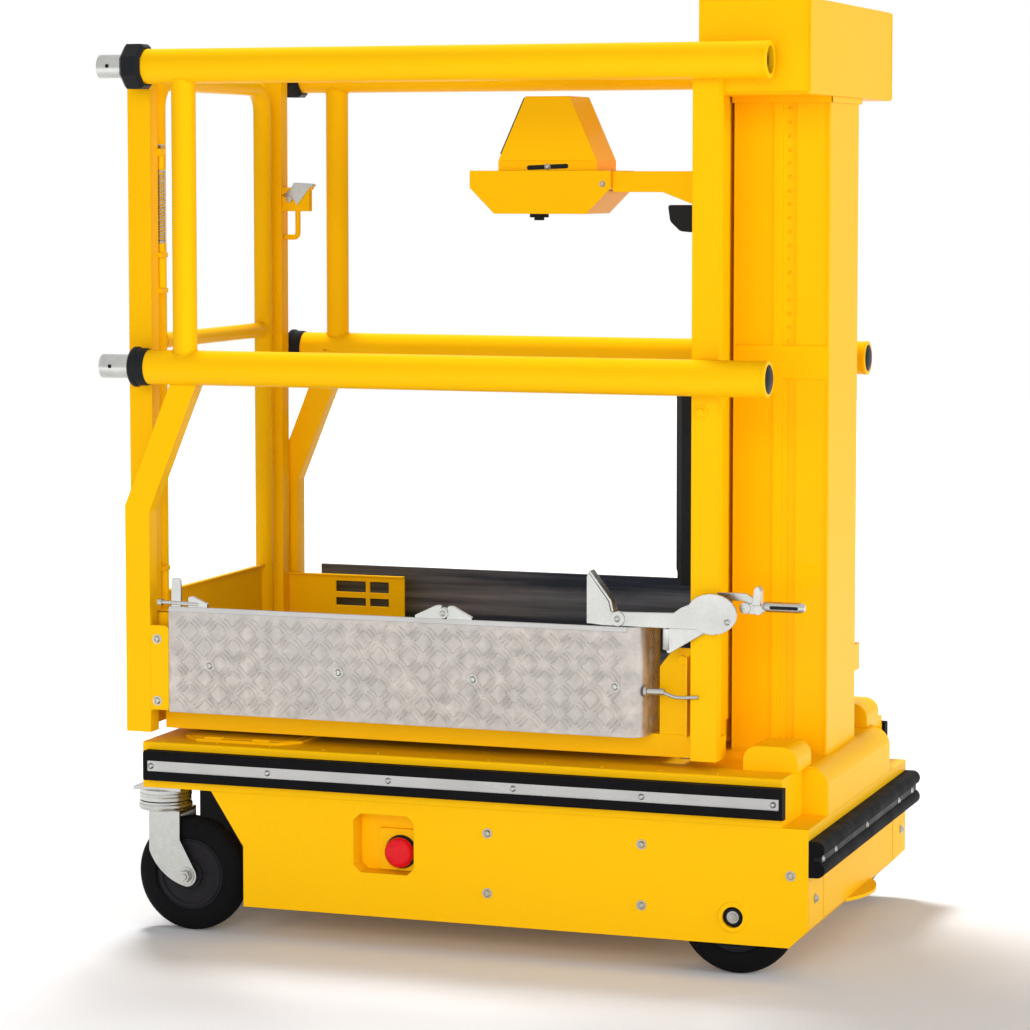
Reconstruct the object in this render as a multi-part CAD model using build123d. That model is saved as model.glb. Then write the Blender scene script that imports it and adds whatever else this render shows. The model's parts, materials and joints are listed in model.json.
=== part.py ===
"""Single-person vertical mast lift, stowed, in millimetres.

+X points to the mast end, -X to the entry gate, -Y is the side with the stop button,
+Z is up and Z = 0 is the floor.
"""
from build123d import *
from math import cos, hypot, pi, radians, sin
import os

os.makedirs("parts", exist_ok=True)

# Lower body: a folded steel shell that stands on four wheels
BODY_WIDTH = 710.0
BODY_BACK_X = 619.0
POCKET_SLANT = 60.0
POCKET_SLANT_Z = 160.0
FLOOR_GAP = 55.0
BODY_TOP_Z = 253.0
SHEET = 4.0
TAIL_CHAMFER = 32.0
TONGUE_OUT = 26.0
TONGUE_R = 165.0
TONGUE_T = 6.0

# Stop button in its cut-cornered recess
RECESS_X = (-179.0, -69.0)
RECESS_Z = (130.0, 231.0)
RECESS_CORNER = 12.0
RECESS_DEPTH = 40.0
RECESS_WALL = 2.0
BUTTON_X = -103.0
BUTTON_Z = 164.0
BUTTON_R = 26.0
BUTTON_H = 14.0
BUTTON_EDGE = 5.0

# Tray: the lid of the lower body
TRAY_FRONT_X = -573.0
TRAY_BACK_X = 574.0
TRAY_HEIGHT = 80.0
TRAY_EDGE_R = 3.6
FOOT_WIDTH = 452.0
FOOT_EDGE_R = 35.0
LID_X = (-520.0, -300.0)
LID_Y = (125.0, 325.0)
LID_CUT = 35.0
LID_T = 5.0
COVER_X = (490.0, 583.0)
COVER_Y = (200.0, 290.0)
COVER_H = 42.0
COVER_R = 25.0

# Rubber bumpers
SIDE_BUMPER_Z = 268.0
SIDE_BUMPER_H = 52.0
SIDE_BUMPER_OUT = 22.0
SIDE_BUMPER_X = (-563.0, 580.0)
SIDE_EDGE_R = 6.0
STRIP_H = 19.0
STRIP_T = 3.0
STRIP_INSET = 6.0
END_BUMPER_Z = 174.0
END_RIB_H = 26.0
END_BUMPER_H = 60.0
END_BUMPER_OUT = 27.0
END_WEB_T = 6.0
END_STRIP_T = 8.0
END_STRIP_INSET = 4.0

# Wheels
WHEEL_R = 100.0
WHEEL_INSET = 40.0
TYRE_EDGE = 9.0
HUB_R = 62.0
HUB_INSET = 6.0
CASTER_WIDTH = 48.0
CASTER_X = -549.0
CASTER_TRAIL = 54.0
SWEEP_CLEAR = 9.0
SWIVEL_R = 45.0
SWIVEL_H = 30.0
SWIVEL_DROP = 11.0
KING_PIN_R = 8.0
FORK_T = 6.0
FORK_GAP = 5.0
FORK_FRONT = 16.0
FORK_BACK = 42.0
FORK_END_R = 19.0
DRIVE_WIDTH = 56.0
DRIVE_X = 492.0
MOTOR_R = 40.0
MOTOR_INNER_Y = 110.0
MOTOR_SETBACK = 43.0
DRIVE_AXLE_R = 14.0
BUSH_R = 26.0
BUSH_NECK_R = 21.0
BUSH_FLANGE_T = 3.0
AXLE_R = 10.0
AXLE_CLEAR = 0.05
MOUNT_HALF = 36.0
MOUNT_T = 6.0
STEM_FRONT = 18.0
STEM_OUTER = 30.0

# Battery pack in the body, and the pan between the casters
BATTERY_X = (-340.0, 180.0)
BATTERY_WIDTH = 340.0
BATTERY_H = 185.0
PAN_FRONT_X = -560.0
PAN_BOTTOM_Z = 90.0
PAN_CHAMFER = 40.0
PAN_WALL = 4.0
PAN_CLEAR = 11.0

# Mast: one fixed section and three that slide inside it
MAST_FRONT_X = 417.0
MAST_LENGTH = 167.0
MAST_WIDTH = 200.0
MAST_WALL = 4.0
MAST_TOP_Z = 1442.0
STAGE_GAP = 5.0
PAD_CLEAR = 0.3
PAD_WIDTH = 50.0
PAD_HEIGHT = 60.0
BAND_Z = (972.0, 1028.0)
MAST_PANELS = (
    # start and end along X from the mast's front, depth above the band, depth below it
    (3.0, 69.0, 2.0, 2.0),
    (85.0, 97.0, 3.0, 3.0),
    (97.0, 109.0, 3.0, 2.0),
    (111.0, 163.0, 2.0, 2.0),
)

STUB_X = (-44.0, -6.0)
STUB_REACH = 60.0
STUB_Z = (445.0, 492.0)

# Mast head: the box girder that carries the cage
HEAD_FRONT = 8.0
HEAD_LENGTH = 188.0
HEAD_WIDTH = 580.0
HEAD_HEIGHT = 156.0
HEAD_CLEAR = 5.0

# Cage tubes
RAIL_R = 30.0
RAIL_BORE_R = 23.0
RAIL_TOP_Z = 1501.0
RAIL_MID_Z = 985.0
RAIL_X = (-571.0, 545.0)
PLUG_LENGTH = 20.0
STILE_R = 21.0
STILE_X = -491.0
TUBE_WALL = 3.0
REAR_POST_STEP = 2.0
REAR_POST_L = 45.0
REAR_POST_T = 28.0
POST_TO_RAIL = 28.0
LOWER_POST_X = -608.0
LOWER_POST_L = 46.0
LOWER_POST_T = 30.0
POST_BOTTOM_Z = 348.0
BRACE_BEND_Z = 743.0
BRACE_TOP_X = -509.0
BRACE_THIN = 9.0

# Floor frame, deck and toe boards
FRAME_H = 38.0
FRAME_BAR = 30.0
CROSS_BARS = (-540.0, -230.0, 80.0, 377.0)
DECK_T = 4.0
TOE_H = 184.0
TOE_T = 3.0
TOE_FRONT_X = -526.0
TOE_BACK_X = 333.0
TOE_RETURN = 100.0
TOE_CORNER_R = 26.0

# Deck lock on the near side: lever on its bracket, toggle, and clips on the toe board
LOCK_T = 6.0
LOCK_GAP = 17.0
LOCK_FLANGE = 22.0
LEVER_EDGE = (
    # x from the rear post's front, z from the toe board's top
    (-173.0, 3.0), (-173.0, 81.0), (-171.0, 89.0), (-135.0, 41.0), (-131.0, 22.0),
    (-18.0, 26.0), (-7.0, 46.0), (11.0, 57.0), (44.0, 61.0), (69.0, 49.0), (85.0, 27.0),
    (79.0, 9.0), (49.0, -6.0), (37.0, 0.0), (-145.0, 0.0), (-166.0, 3.0),
)
LEVER_BOSS = (-119.0, 13.0)
LEVER_BOSS_R = 11.0
LOCK_BRACKET = ((-35.0, -44.0), (-36.0, 6.0), (42.0, 6.0))
LOCK_KNUCKLE_R = 6.0
LOCK_KNUCKLE_H = 34.0
TOGGLE_T = 12.0
TOGGLE_ARM = (46.0, 47.0, 61.0)
TOGGLE_KNUCKLE = (38.0, 80.0, 28.0, 48.0)
TOGGLE_FLIPPER = ((67.0, 45.0), (67.0, 72.0), (74.0, 64.0), (72.0, 45.0))
TOGGLE_GRIP_X = (78.0, 148.0)
TOGGLE_GRIP_Z = 40.5
TOGGLE_GRIP_R = 8.0
CLIP_T = 6.0
CLIPS = (
    # outlines that stand on the toe board: x from its front, height
    ((5.0, 0.0), (5.0, 50.0), (24.0, 50.0), (24.0, 0.0)),
    ((39.0, 0.0), (39.0, 18.0), (73.0, 9.0), (73.0, 0.0)),
    ((457.0, 0.0), (500.0, 23.0), (505.0, 0.0)),
    ((514.0, 0.0), (523.0, 22.0), (559.0, 0.0)),
)

# Back panel with its document box
PANEL_T = 3.0
PANEL_CLEAR = 7.0
DOC_Z = (614.0, 964.0)
DOC_WIDTH = 220.0
DOC_DEPTH = 88.0
DOC_WALL = 8.0
DOC_FRONT_T = 4.0
DOC_CHAMFER = 10.0

# Control box: a housing with sloped ends on a tray, and its arm
BOX_X = (-23.0, 158.0)
BOX_WIDTH = 110.0
BOX_Z = (1340.0, 1452.0)
BOX_TOP_INSET = 50.0
BOX_TRAY_X = (-72.0, 187.0)
BOX_TRAY_Z = (1248.0, 1323.0)
BOX_TRAY_WIDTH = 134.0
BOX_TRAY_EDGE = 30.0
BOX_TRAY_CUT = 45.0
BOX_WALL = 3.0
ARM_Z = (1286.0, 1322.0)
ARM_WIDTH = 30.0
ARM_GUSSET_X = 130.0
ARM_GUSSET_Z = 50.0

# Sliding end frame
INNER_R = 21.0
INNER_X = -646.0
INNER_LENGTH = 566.0
COLLAR_FIT = 0.3
TOP_COLLAR_R = 39.0
TOP_COLLAR_X = (-596.0, -558.0)
MID_COLLAR_R = 32.0
MID_COLLAR_X = (-588.0, -558.0)
END_POST_X = -618.0
END_POST_L = 43.0
END_POST_T = 30.0
END_POST_INSET = 44.0
END_POST_RISE = 18.0
BRACKET_X = (-638.0, -611.0)
BRACKET_H = 30.0
EXT_DECK_LIFT = 6.0
EXT_DECK_LENGTH = 520.0
SILL_RISE = 8.0
EXT_TOE_LENGTH = 279.0
EXT_TOE_H = 160.0

# Gate
GATE_R = 17.0
GATE_BAR_R = 14.0
GATE_CORNER_R = 50.0
GATE_BEND_STEPS = 3
GATE_TOP_Z = 1480.0
GATE_BOTTOM_Z = 430.0
GATE_MID_Z = 1024.0
GATE_TOE_H = 150.0
HINGE_R = 9.0
HINGE_PIN_R = 6.0
HINGE_CLEAR = 5.0
HINGE_SHIFT = 20.0
HINGE_LENGTH = 70.0
HINGE_EAR = 8.0
HINGE_PLAY = 0.3
HINGE_Z = (560.0, 1110.0)

# Closing spring on the upper hinge's long pin, and the latch on the other post
SPRING_Z = (1201.0, 1319.0)
SPRING_R = 7.5
SPRING_EAR_HALF = 7.0
SPRING_EAR_Z = (1349.0, 1361.0)
LATCH_Y = (276.0, 290.0)
LATCH_REACH = 55.0
LATCH_Z = (1247.0, 1292.0)
LATCH_HOOK = (
    # x from the post's face, z from the latch's top
    (0.0, -17.0), (20.0, -2.0), (24.0, 8.0), (63.0, 4.0), (57.0, -4.0), (30.0, -34.0),
)

# Places that follow from the sizes above
half = BODY_WIDTH / 2
tray_top_z = BODY_TOP_Z + TRAY_HEIGHT
wheel_y = half - WHEEL_INSET
caster_axle_x = CASTER_X + CASTER_TRAIL
caster_sweep = hypot(CASTER_TRAIL + WHEEL_R, CASTER_WIDTH / 2)
pocket_x = CASTER_X + caster_sweep + SWEEP_CLEAR
pan_half = wheel_y - caster_sweep - PAN_CLEAR
mast_x = (MAST_FRONT_X, MAST_FRONT_X + MAST_LENGTH)
mast_y = MAST_WIDTH / 2
mast_bottom_z = FLOOR_GAP + SHEET
head_x = (MAST_FRONT_X - HEAD_FRONT, MAST_FRONT_X - HEAD_FRONT + HEAD_LENGTH)
head_y = HEAD_WIDTH / 2
head_z = MAST_TOP_Z + HEAD_CLEAR
rear_post_x = (head_x[0] - REAR_POST_STEP, head_x[0] - REAR_POST_STEP + REAR_POST_L)
rear_post_y = (head_y, head_y + REAR_POST_T)
rail_y = head_y + REAR_POST_T + POST_TO_RAIL
lower_post_y = (rail_y - LOWER_POST_T, rail_y)
frame_z = (POST_BOTTOM_Z, POST_BOTTOM_Z + FRAME_H)
deck_z = (frame_z[1], frame_z[1] + DECK_T)
panel_x = (MAST_FRONT_X - PANEL_CLEAR - PANEL_T, MAST_FRONT_X - PANEL_CLEAR)
end_post_x = (END_POST_X, END_POST_X + END_POST_L)
end_post_y = (rail_y - END_POST_INSET - END_POST_T, rail_y - END_POST_INSET)
ext_z = (deck_z[1] + EXT_DECK_LIFT, deck_z[1] + EXT_DECK_LIFT + DECK_T)
gate_x = END_POST_X + END_POST_L / 2
hinge_x = gate_x + HINGE_SHIFT
hinge_y = -end_post_y[0] + HINGE_R + HINGE_CLEAR
gate_half = -hinge_y - HINGE_R + 1 - GATE_R


def block(x, y, z):
    """A box between the given (low, high) pairs."""
    centre = Pos((x[0] + x[1]) / 2, (y[0] + y[1]) / 2, (z[0] + z[1]) / 2)
    return centre * Box(abs(x[1] - x[0]), abs(y[1] - y[0]), abs(z[1] - z[0]))


def rod(axis, start, length, radius, bore=0.0):
    """A rod or tube along X, Y or Z from its start point."""
    turn = {"X": Rot(0, 90, 0), "Y": Rot(-90, 0, 0), "Z": Rot(0, 0, 0)}[axis]
    base = (Align.CENTER, Align.CENTER, Align.MIN)
    solid = Cylinder(radius, length, align=base)
    if bore > 0:
        solid -= Cylinder(bore, length, align=base)
    return Pos(*start) * turn * solid


def box_tube(x, y, z, wall):
    """An upright rectangular tube, open at both ends."""
    hole = block((x[0] + wall, x[1] - wall), (y[0] + wall, y[1] - wall), (z[0] - 1, z[1] + 1))
    return block(x, y, z) - hole


def side_profile(points, y):
    """An outline of (x, z) points in the XZ plane, filled between two Y values."""
    wire = Polyline(*[(x, z) for x, z in points], close=True)
    face = make_face(wire)
    solid = extrude(Plane.XZ * face, -abs(y[1] - y[0]))
    return Pos(0, min(y), 0) * solid


def both_sides(make):
    """The same piece on the -Y side and on the +Y side."""
    solid = make()
    return [mirror(solid, Plane.XZ), solid]


def save(node, *solids):
    """Write one node, made of solids that don't touch."""
    pieces = [solid for item in solids for solid in item.solids()]
    export_step(Compound(children=pieces), f"parts/{node}.step")


# Lower body: floor, end walls and tail, between two side plates
body_outline = [
    (pocket_x, FLOOR_GAP),
    (BODY_BACK_X - TAIL_CHAMFER, FLOOR_GAP),
    (BODY_BACK_X, FLOOR_GAP + TAIL_CHAMFER),
    (BODY_BACK_X, BODY_TOP_Z),
    (pocket_x - POCKET_SLANT, BODY_TOP_Z),
    (pocket_x, POCKET_SLANT_Z),
]
inner_outline = [
    (pocket_x + SHEET, FLOOR_GAP + SHEET),
    (BODY_BACK_X - TAIL_CHAMFER - SHEET / 2, FLOOR_GAP + SHEET),
    (BODY_BACK_X - SHEET, FLOOR_GAP + TAIL_CHAMFER + SHEET / 2),
    (BODY_BACK_X - SHEET, BODY_TOP_Z + 1),
    (pocket_x - POCKET_SLANT + SHEET, BODY_TOP_Z + 1),
    (pocket_x + SHEET, POCKET_SLANT_Z + SHEET / 2),
]
inside = half - SHEET
body = side_profile(body_outline, (-inside, inside))
body -= side_profile(inner_outline, (-inside - 1, inside + 1))
well = WHEEL_R + 12.0
for side in (-1, 1):
    edges = (side * (wheel_y - DRIVE_WIDTH / 2 - 10), side * (wheel_y + DRIVE_WIDTH / 2 + 5))
    body -= block((DRIVE_X - well, DRIVE_X + well), sorted(edges),
                  (FLOOR_GAP - 1, FLOOR_GAP + SHEET + 1))

# Half-round tongue that stands out at the foot of the tail
tongue_z = FLOOR_GAP + TAIL_CHAMFER - TONGUE_T / 2
tongue = Pos(BODY_BACK_X + TONGUE_OUT - TONGUE_R, 0, tongue_z) * Cylinder(TONGUE_R, TONGUE_T)
body += tongue & block((BODY_BACK_X - SHEET / 2, BODY_BACK_X + TONGUE_R), (-half, half),
                       (FLOOR_GAP, BODY_TOP_Z))
save("chassis_body", body)


def recess_outline(grow):
    """The cut-corner outline of the stop-button recess, made larger by grow."""
    x0, x1 = RECESS_X[0] - grow, RECESS_X[1] + grow
    z0, z1 = RECESS_Z[0] - grow, RECESS_Z[1] + grow
    c = RECESS_CORNER
    return [(x0 + c, z0), (x1 - c, z0), (x1, z0 + c), (x1, z1 - c),
            (x1 - c, z1), (x0 + c, z1), (x0, z1 - c), (x0, z0 + c)]


def side_plate(side):
    plate = side_profile(body_outline, sorted((side * inside, side * half)))
    return plate - rod("Y", (DRIVE_X, -half - 1, WHEEL_R), BODY_WIDTH + 2, BUSH_NECK_R)


near_plate = side_plate(-1) - side_profile(recess_outline(0), (-half - 1, -inside + 1))
save("side_plate_near", near_plate)
save("side_plate_far", side_plate(1))

recess_back = -half + RECESS_DEPTH
recess = side_profile(recess_outline(RECESS_WALL), (-inside, recess_back))
recess -= side_profile(recess_outline(0), (-inside - 1, recess_back - RECESS_WALL))
save("stop_recess", recess)

button_foot = recess_back - RECESS_WALL - BUTTON_H
button = rod("Y", (BUTTON_X, button_foot, BUTTON_Z), BUTTON_H, BUTTON_R * 0.6)
cap = rod("Y", (BUTTON_X, button_foot - BUTTON_H, BUTTON_Z), BUTTON_H, BUTTON_R)
save("stop_button", button + chamfer(cap.edges().group_by(Axis.Y)[0], BUTTON_EDGE))


def axle_bush():
    flange = rod("Y", (DRIVE_X, half, WHEEL_R), BUSH_FLANGE_T, BUSH_R, DRIVE_AXLE_R)
    return flange + rod("Y", (DRIVE_X, inside, WHEEL_R), SHEET, BUSH_NECK_R, DRIVE_AXLE_R)


save("axle_bushes", *both_sides(axle_bush))

# Tray: an upside-down folded pan with two raised lids, lengthened at the mast's foot
tray = block((TRAY_FRONT_X, TRAY_BACK_X), (-half, half), (BODY_TOP_Z, tray_top_z))
tray -= block((TRAY_FRONT_X + SHEET, TRAY_BACK_X - SHEET), (-inside, inside),
              (BODY_TOP_Z - 1, tray_top_z - SHEET))
tray = fillet(tray.edges().filter_by(Axis.X).group_by(Axis.Z)[-1], TRAY_EDGE_R)
foot_y = FOOT_WIDTH / 2
foot = block((TRAY_BACK_X - SHEET, BODY_BACK_X), (-foot_y, foot_y), (BODY_TOP_Z, tray_top_z))
foot = fillet(foot.edges().filter_by(Axis.Y).group_by(Axis.X)[-1].sort_by(Axis.Z)[-1],
              FOOT_EDGE_R)
foot -= block((TRAY_BACK_X - SHEET - 1, BODY_BACK_X - SHEET - FOOT_EDGE_R / 4),
              (-foot_y + SHEET, foot_y - SHEET), (BODY_TOP_Z - 1, tray_top_z - SHEET))
tray += foot
for side in (-1, 1):
    lid = block(LID_X, sorted((side * LID_Y[0], side * LID_Y[1])),
                (tray_top_z - 1, tray_top_z + LID_T))
    tray += chamfer(lid.edges().filter_by(Axis.Z), LID_CUT)
tray -= block(mast_x, (-mast_y, mast_y), (BODY_TOP_Z - 1, tray_top_z + 1))
save("chassis_tray", tray)


# Rounded covers over the two drive motors
def motor_cover():
    solid = block(COVER_X, COVER_Y, (tray_top_z, tray_top_z + COVER_H))
    return fillet(solid.edges().filter_by(Axis.Y).group_by(Axis.Z)[-1], COVER_R)


save("motor_covers", *both_sides(motor_cover))

# Bumpers
strip_x = (SIDE_BUMPER_X[0] + STRIP_INSET, SIDE_BUMPER_X[1] - STRIP_INSET)
strip_z = SIDE_BUMPER_Z + (SIDE_BUMPER_H - STRIP_H) / 2
bumper_y = (half, half + SIDE_BUMPER_OUT)
strip_y = bumper_y[1] - STRIP_INSET


def side_bumper():
    solid = block(SIDE_BUMPER_X, bumper_y, (SIDE_BUMPER_Z, SIDE_BUMPER_Z + SIDE_BUMPER_H))
    solid = fillet(solid.edges().filter_by(Axis.X).group_by(Axis.Y)[-1], SIDE_EDGE_R)
    return solid - block(strip_x, (strip_y, bumper_y[1] + 1), (strip_z, strip_z + STRIP_H))


def side_strip():
    return block(strip_x, (strip_y, strip_y + STRIP_T), (strip_z, strip_z + STRIP_H))


save("side_bumpers", *both_sides(side_bumper))
save("side_bumper_strips", *both_sides(side_strip))

rib = END_RIB_H / 2
end_bumper = block((BODY_BACK_X, BODY_BACK_X + END_WEB_T), (-half, half),
                   (END_BUMPER_Z, END_BUMPER_Z + END_BUMPER_H))
for z in (END_BUMPER_Z + rib, END_BUMPER_Z + END_BUMPER_H - rib):
    end_bumper += rod("Y", (BODY_BACK_X + END_BUMPER_OUT - rib, -half, z), BODY_WIDTH, rib)
    end_bumper += block((BODY_BACK_X, BODY_BACK_X + END_BUMPER_OUT - rib), (-half, half),
                        (z - rib, z + rib))
save("end_bumper", end_bumper)
save("end_bumper_strip",
     block((BODY_BACK_X + END_WEB_T, BODY_BACK_X + END_WEB_T + END_STRIP_T),
           (-half + END_STRIP_INSET, half - END_STRIP_INSET),
           (END_BUMPER_Z + END_RIB_H, END_BUMPER_Z + END_BUMPER_H - END_RIB_H)))

# Battery pack, the heavy mass in the middle of the body, and the pan between the casters
save("battery_pack", block(BATTERY_X, (-BATTERY_WIDTH / 2, BATTERY_WIDTH / 2),
                           (FLOOR_GAP + SHEET, FLOOR_GAP + SHEET + BATTERY_H)))
pan = block((PAN_FRONT_X, pocket_x), (-pan_half, pan_half), (PAN_BOTTOM_Z, BODY_TOP_Z))
pan = chamfer(pan.edges().filter_by(Axis.Y).group_by(Axis.X)[0].sort_by(Axis.Z)[0],
              PAN_CHAMFER)
pan -= block((pocket_x - POCKET_SLANT - PAN_WALL, pocket_x + 1), (-pan_half - 1, pan_half + 1),
             (POCKET_SLANT_Z, BODY_TOP_Z + 1))
pan -= block((PAN_FRONT_X + PAN_CHAMFER, pocket_x + 1),
             (-pan_half + PAN_WALL, pan_half - PAN_WALL),
             (PAN_BOTTOM_Z + PAN_WALL, BODY_TOP_Z + 1))
save("front_pan", pan)

# Casters
ring_z = BODY_TOP_Z - SWIVEL_DROP - SWIVEL_H
fork_in = CASTER_WIDTH / 2 + FORK_GAP
fork_out = fork_in + FORK_T


def caster_mount():
    """Plate under the tray, its stem and the fixed half of the swivel."""
    plate = block((CASTER_X - SWIVEL_R, CASTER_X + SWIVEL_R),
                  (wheel_y - MOUNT_HALF, wheel_y + MOUNT_HALF), (BODY_TOP_Z - MOUNT_T, BODY_TOP_Z))
    stem = block((CASTER_X - STEM_FRONT, CASTER_X + SWIVEL_R),
                 (wheel_y - MOUNT_HALF, wheel_y + STEM_OUTER), (BODY_TOP_Z, tray_top_z - SHEET))
    ring = rod("Z", (CASTER_X, wheel_y, ring_z + SWIVEL_H / 2 + 1), SWIVEL_H / 2 + 4, SWIVEL_R)
    king_pin = rod("Z", (CASTER_X, wheel_y, ring_z - 6), SWIVEL_H, KING_PIN_R)
    return plate + stem + ring + king_pin


def fork_leg():
    """One leg: upright at the crown, then swept back to its round end at the axle."""
    x0, x1 = CASTER_X - FORK_FRONT, CASTER_X + FORK_BACK
    sweep_low = (caster_axle_x, WHEEL_R - FORK_END_R)
    end = (caster_axle_x + FORK_END_R * cos(radians(30)), WHEEL_R + FORK_END_R * sin(radians(30)))
    bend = (caster_axle_x - 1.5 * FORK_END_R - FORK_FRONT, WHEEL_R + 4)
    outline = Line((x0, ring_z), (x1, ring_z)) + Line((x1, ring_z), (x1, WHEEL_R + FORK_BACK + 20))
    outline += Line((x1, WHEEL_R + FORK_BACK + 20), end)
    outline += ThreePointArc(end, (caster_axle_x + FORK_END_R * cos(radians(-30)),
                                   WHEEL_R + FORK_END_R * sin(radians(-30))), sweep_low)
    outline += ThreePointArc(sweep_low, bend, (x0, WHEEL_R + FORK_BACK))
    outline += Line((x0, WHEEL_R + FORK_BACK), (x0, ring_z))
    solid = extrude(Plane.XZ * make_face(outline), -FORK_T)
    return Pos(0, wheel_y + fork_in, 0) * solid


def caster_fork():
    """Turning half of the swivel with its crown, two legs and the wheel's axle."""
    cup = rod("Z", (CASTER_X, wheel_y, ring_z), SWIVEL_H / 2 - 1, SWIVEL_R)
    crown = block((CASTER_X - FORK_FRONT, CASTER_X + FORK_BACK),
                  (wheel_y - fork_out, wheel_y + fork_out), (ring_z - 6, ring_z))
    leg = fork_leg()
    solid = cup + crown + leg + Pos(0, -fork_in - fork_out, 0) * leg
    solid -= rod("Z", (CASTER_X, wheel_y, ring_z - 7), SWIVEL_H, KING_PIN_R + AXLE_CLEAR)
    return solid + rod("Y", (caster_axle_x, wheel_y - fork_out, WHEEL_R), 2 * fork_out, AXLE_R)


def wheel_tyre(x, y, width):
    """Solid tyre whose sides slope from the hub's seat to a narrower tread."""
    tread = width / 2 - TYRE_EDGE
    outline = Polyline((HUB_R, -width / 2), (WHEEL_R, -tread), (WHEEL_R, tread),
                       (HUB_R, width / 2), close=True)
    return Pos(x, y, WHEEL_R) * revolve(make_face(outline), Axis.Y)


def wheel_hub(x, y, width, bore):
    """A disc inside the tyre with a boss on its outer face."""
    disc = rod("Y", (x, y - width / 2 + HUB_INSET, WHEEL_R), width - 2 * HUB_INSET, HUB_R)
    outer = y + width / 2 - HUB_INSET if y > 0 else y - width / 2
    disc += rod("Y", (x, outer, WHEEL_R), HUB_INSET, bore + 14)
    return disc - rod("Y", (x, y - width / 2 - 1, WHEEL_R), width + 2, bore)


mounts = both_sides(caster_mount)
forks = both_sides(caster_fork)
save("caster_mounts", *mounts)
SIDES = (("near", -1, forks[0]), ("far", 1, forks[1]))
for name, side, fork in SIDES:
    save(f"caster_fork_{name}", fork)
    save(f"caster_tyre_{name}", wheel_tyre(caster_axle_x, side * wheel_y, CASTER_WIDTH))
    save(f"caster_hub_{name}",
         wheel_hub(caster_axle_x, side * wheel_y, CASTER_WIDTH, AXLE_R + AXLE_CLEAR))
    save(f"drive_tyre_{name}", wheel_tyre(DRIVE_X, side * wheel_y, DRIVE_WIDTH))
    save(f"drive_hub_{name}",
         wheel_hub(DRIVE_X, side * wheel_y, DRIVE_WIDTH, DRIVE_AXLE_R + AXLE_CLEAR))


def drive_motor():
    """Motor with the axle that carries its wheel and ends in the side plate's bush."""
    motor_end = wheel_y - MOTOR_SETBACK
    motor = rod("Y", (DRIVE_X, MOTOR_INNER_Y, WHEEL_R), motor_end - MOTOR_INNER_Y, MOTOR_R)
    return motor + rod("Y", (DRIVE_X, motor_end, WHEEL_R), half - motor_end, DRIVE_AXLE_R)


save("drive_motors", *both_sides(drive_motor))

# Mast sections
def section(index, z):
    """A mast tube, counted inwards from the fixed outer one."""
    shrink = index * (MAST_WALL + STAGE_GAP)
    x = (mast_x[0] + shrink, mast_x[1] - shrink)
    y = (-mast_y + shrink, mast_y - shrink)
    return box_tube(x, y, z, MAST_WALL)


def slide_pads(index, z, outward):
    """Four wear pads on a section's outer walls, or on its inner walls."""
    shrink = index * (MAST_WALL + STAGE_GAP) + (0 if outward else MAST_WALL)
    reach = STAGE_GAP - PAD_CLEAR
    if not outward:
        reach = -reach
    pads = []
    for sign, face in ((-1, mast_x[0] + shrink), (1, mast_x[1] - shrink)):
        x = sorted((face, face + sign * reach))
        pads.append(block(x, (-PAD_WIDTH / 2, PAD_WIDTH / 2), z))
    for sign in (-1, 1):
        face = sign * (mast_y - shrink)
        y = sorted((face, face + sign * reach))
        centre = (mast_x[0] + mast_x[1]) / 2
        pads.append(block((centre - PAD_WIDTH / 2, centre + PAD_WIDTH / 2), y, z))
    return pads


stage_bottom_z = mast_bottom_z + STAGE_GAP
low_pad_z = (stage_bottom_z, stage_bottom_z + PAD_HEIGHT)
high_pad_z = (MAST_TOP_Z - PAD_HEIGHT, MAST_TOP_Z)
SECTIONS = (
    # node, pads at the foot, pads at the top, lowest z, highest z
    ("mast_fixed_section", False, True, mast_bottom_z, MAST_TOP_Z),
    ("mast_stage_1", True, True, stage_bottom_z, MAST_TOP_Z),
    ("mast_stage_2", True, True, stage_bottom_z, MAST_TOP_Z),
    ("mast_stage_3", True, False, stage_bottom_z, head_z),
)
for index, (node, foot_pads, top_pads, low, high) in enumerate(SECTIONS):
    tube = section(index, (low, high))
    if foot_pads:
        for pad in slide_pads(index, low_pad_z, True):
            tube += pad
    if top_pads:
        for pad in slide_pads(index, high_pad_z, False):
            tube += pad
    if node == "mast_fixed_section":
        for start, end, upper_depth, lower_depth in MAST_PANELS:
            x = (mast_x[0] + start, mast_x[0] + end)
            panels = ((BAND_Z[1], MAST_TOP_Z - SHEET, upper_depth),
                      (tray_top_z + SHEET, BAND_Z[0], lower_depth))
            for z_low, z_high, depth in panels:
                for side in (-1, 1):
                    y = sorted((side * (mast_y - depth), side * (mast_y + 1)))
                    tube -= block(x, y, (z_low, z_high))
    save(node, tube)

stub_y = (mast_y - MAST_PANELS[-1][-1], mast_y + STUB_REACH)
save("mast_stub", block((mast_x[1] + STUB_X[0], mast_x[1] + STUB_X[1]), stub_y, STUB_Z))

# Head
head = block(head_x, (-head_y, head_y), (head_z, head_z + HEAD_HEIGHT))
head = fillet(head.edges().group_by(Axis.Z)[-1], SHEET)
head -= block((head_x[0] + SHEET, head_x[1] - SHEET), (-head_y + SHEET, head_y - SHEET),
              (head_z + SHEET, head_z + HEAD_HEIGHT - SHEET))
core = 3 * (MAST_WALL + STAGE_GAP) + MAST_WALL
head -= block((mast_x[0] + core, mast_x[1] - core), (-mast_y + core, mast_y - core),
              (head_z - 1, head_z + SHEET + 1))
save("mast_head", head)


# Cage: rails on both sides, with the tubes and posts that join them
def rail(z, bore=RAIL_BORE_R):
    return rod("X", (RAIL_X[0], rail_y, z), RAIL_X[1] - RAIL_X[0], RAIL_R, bore)


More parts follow.
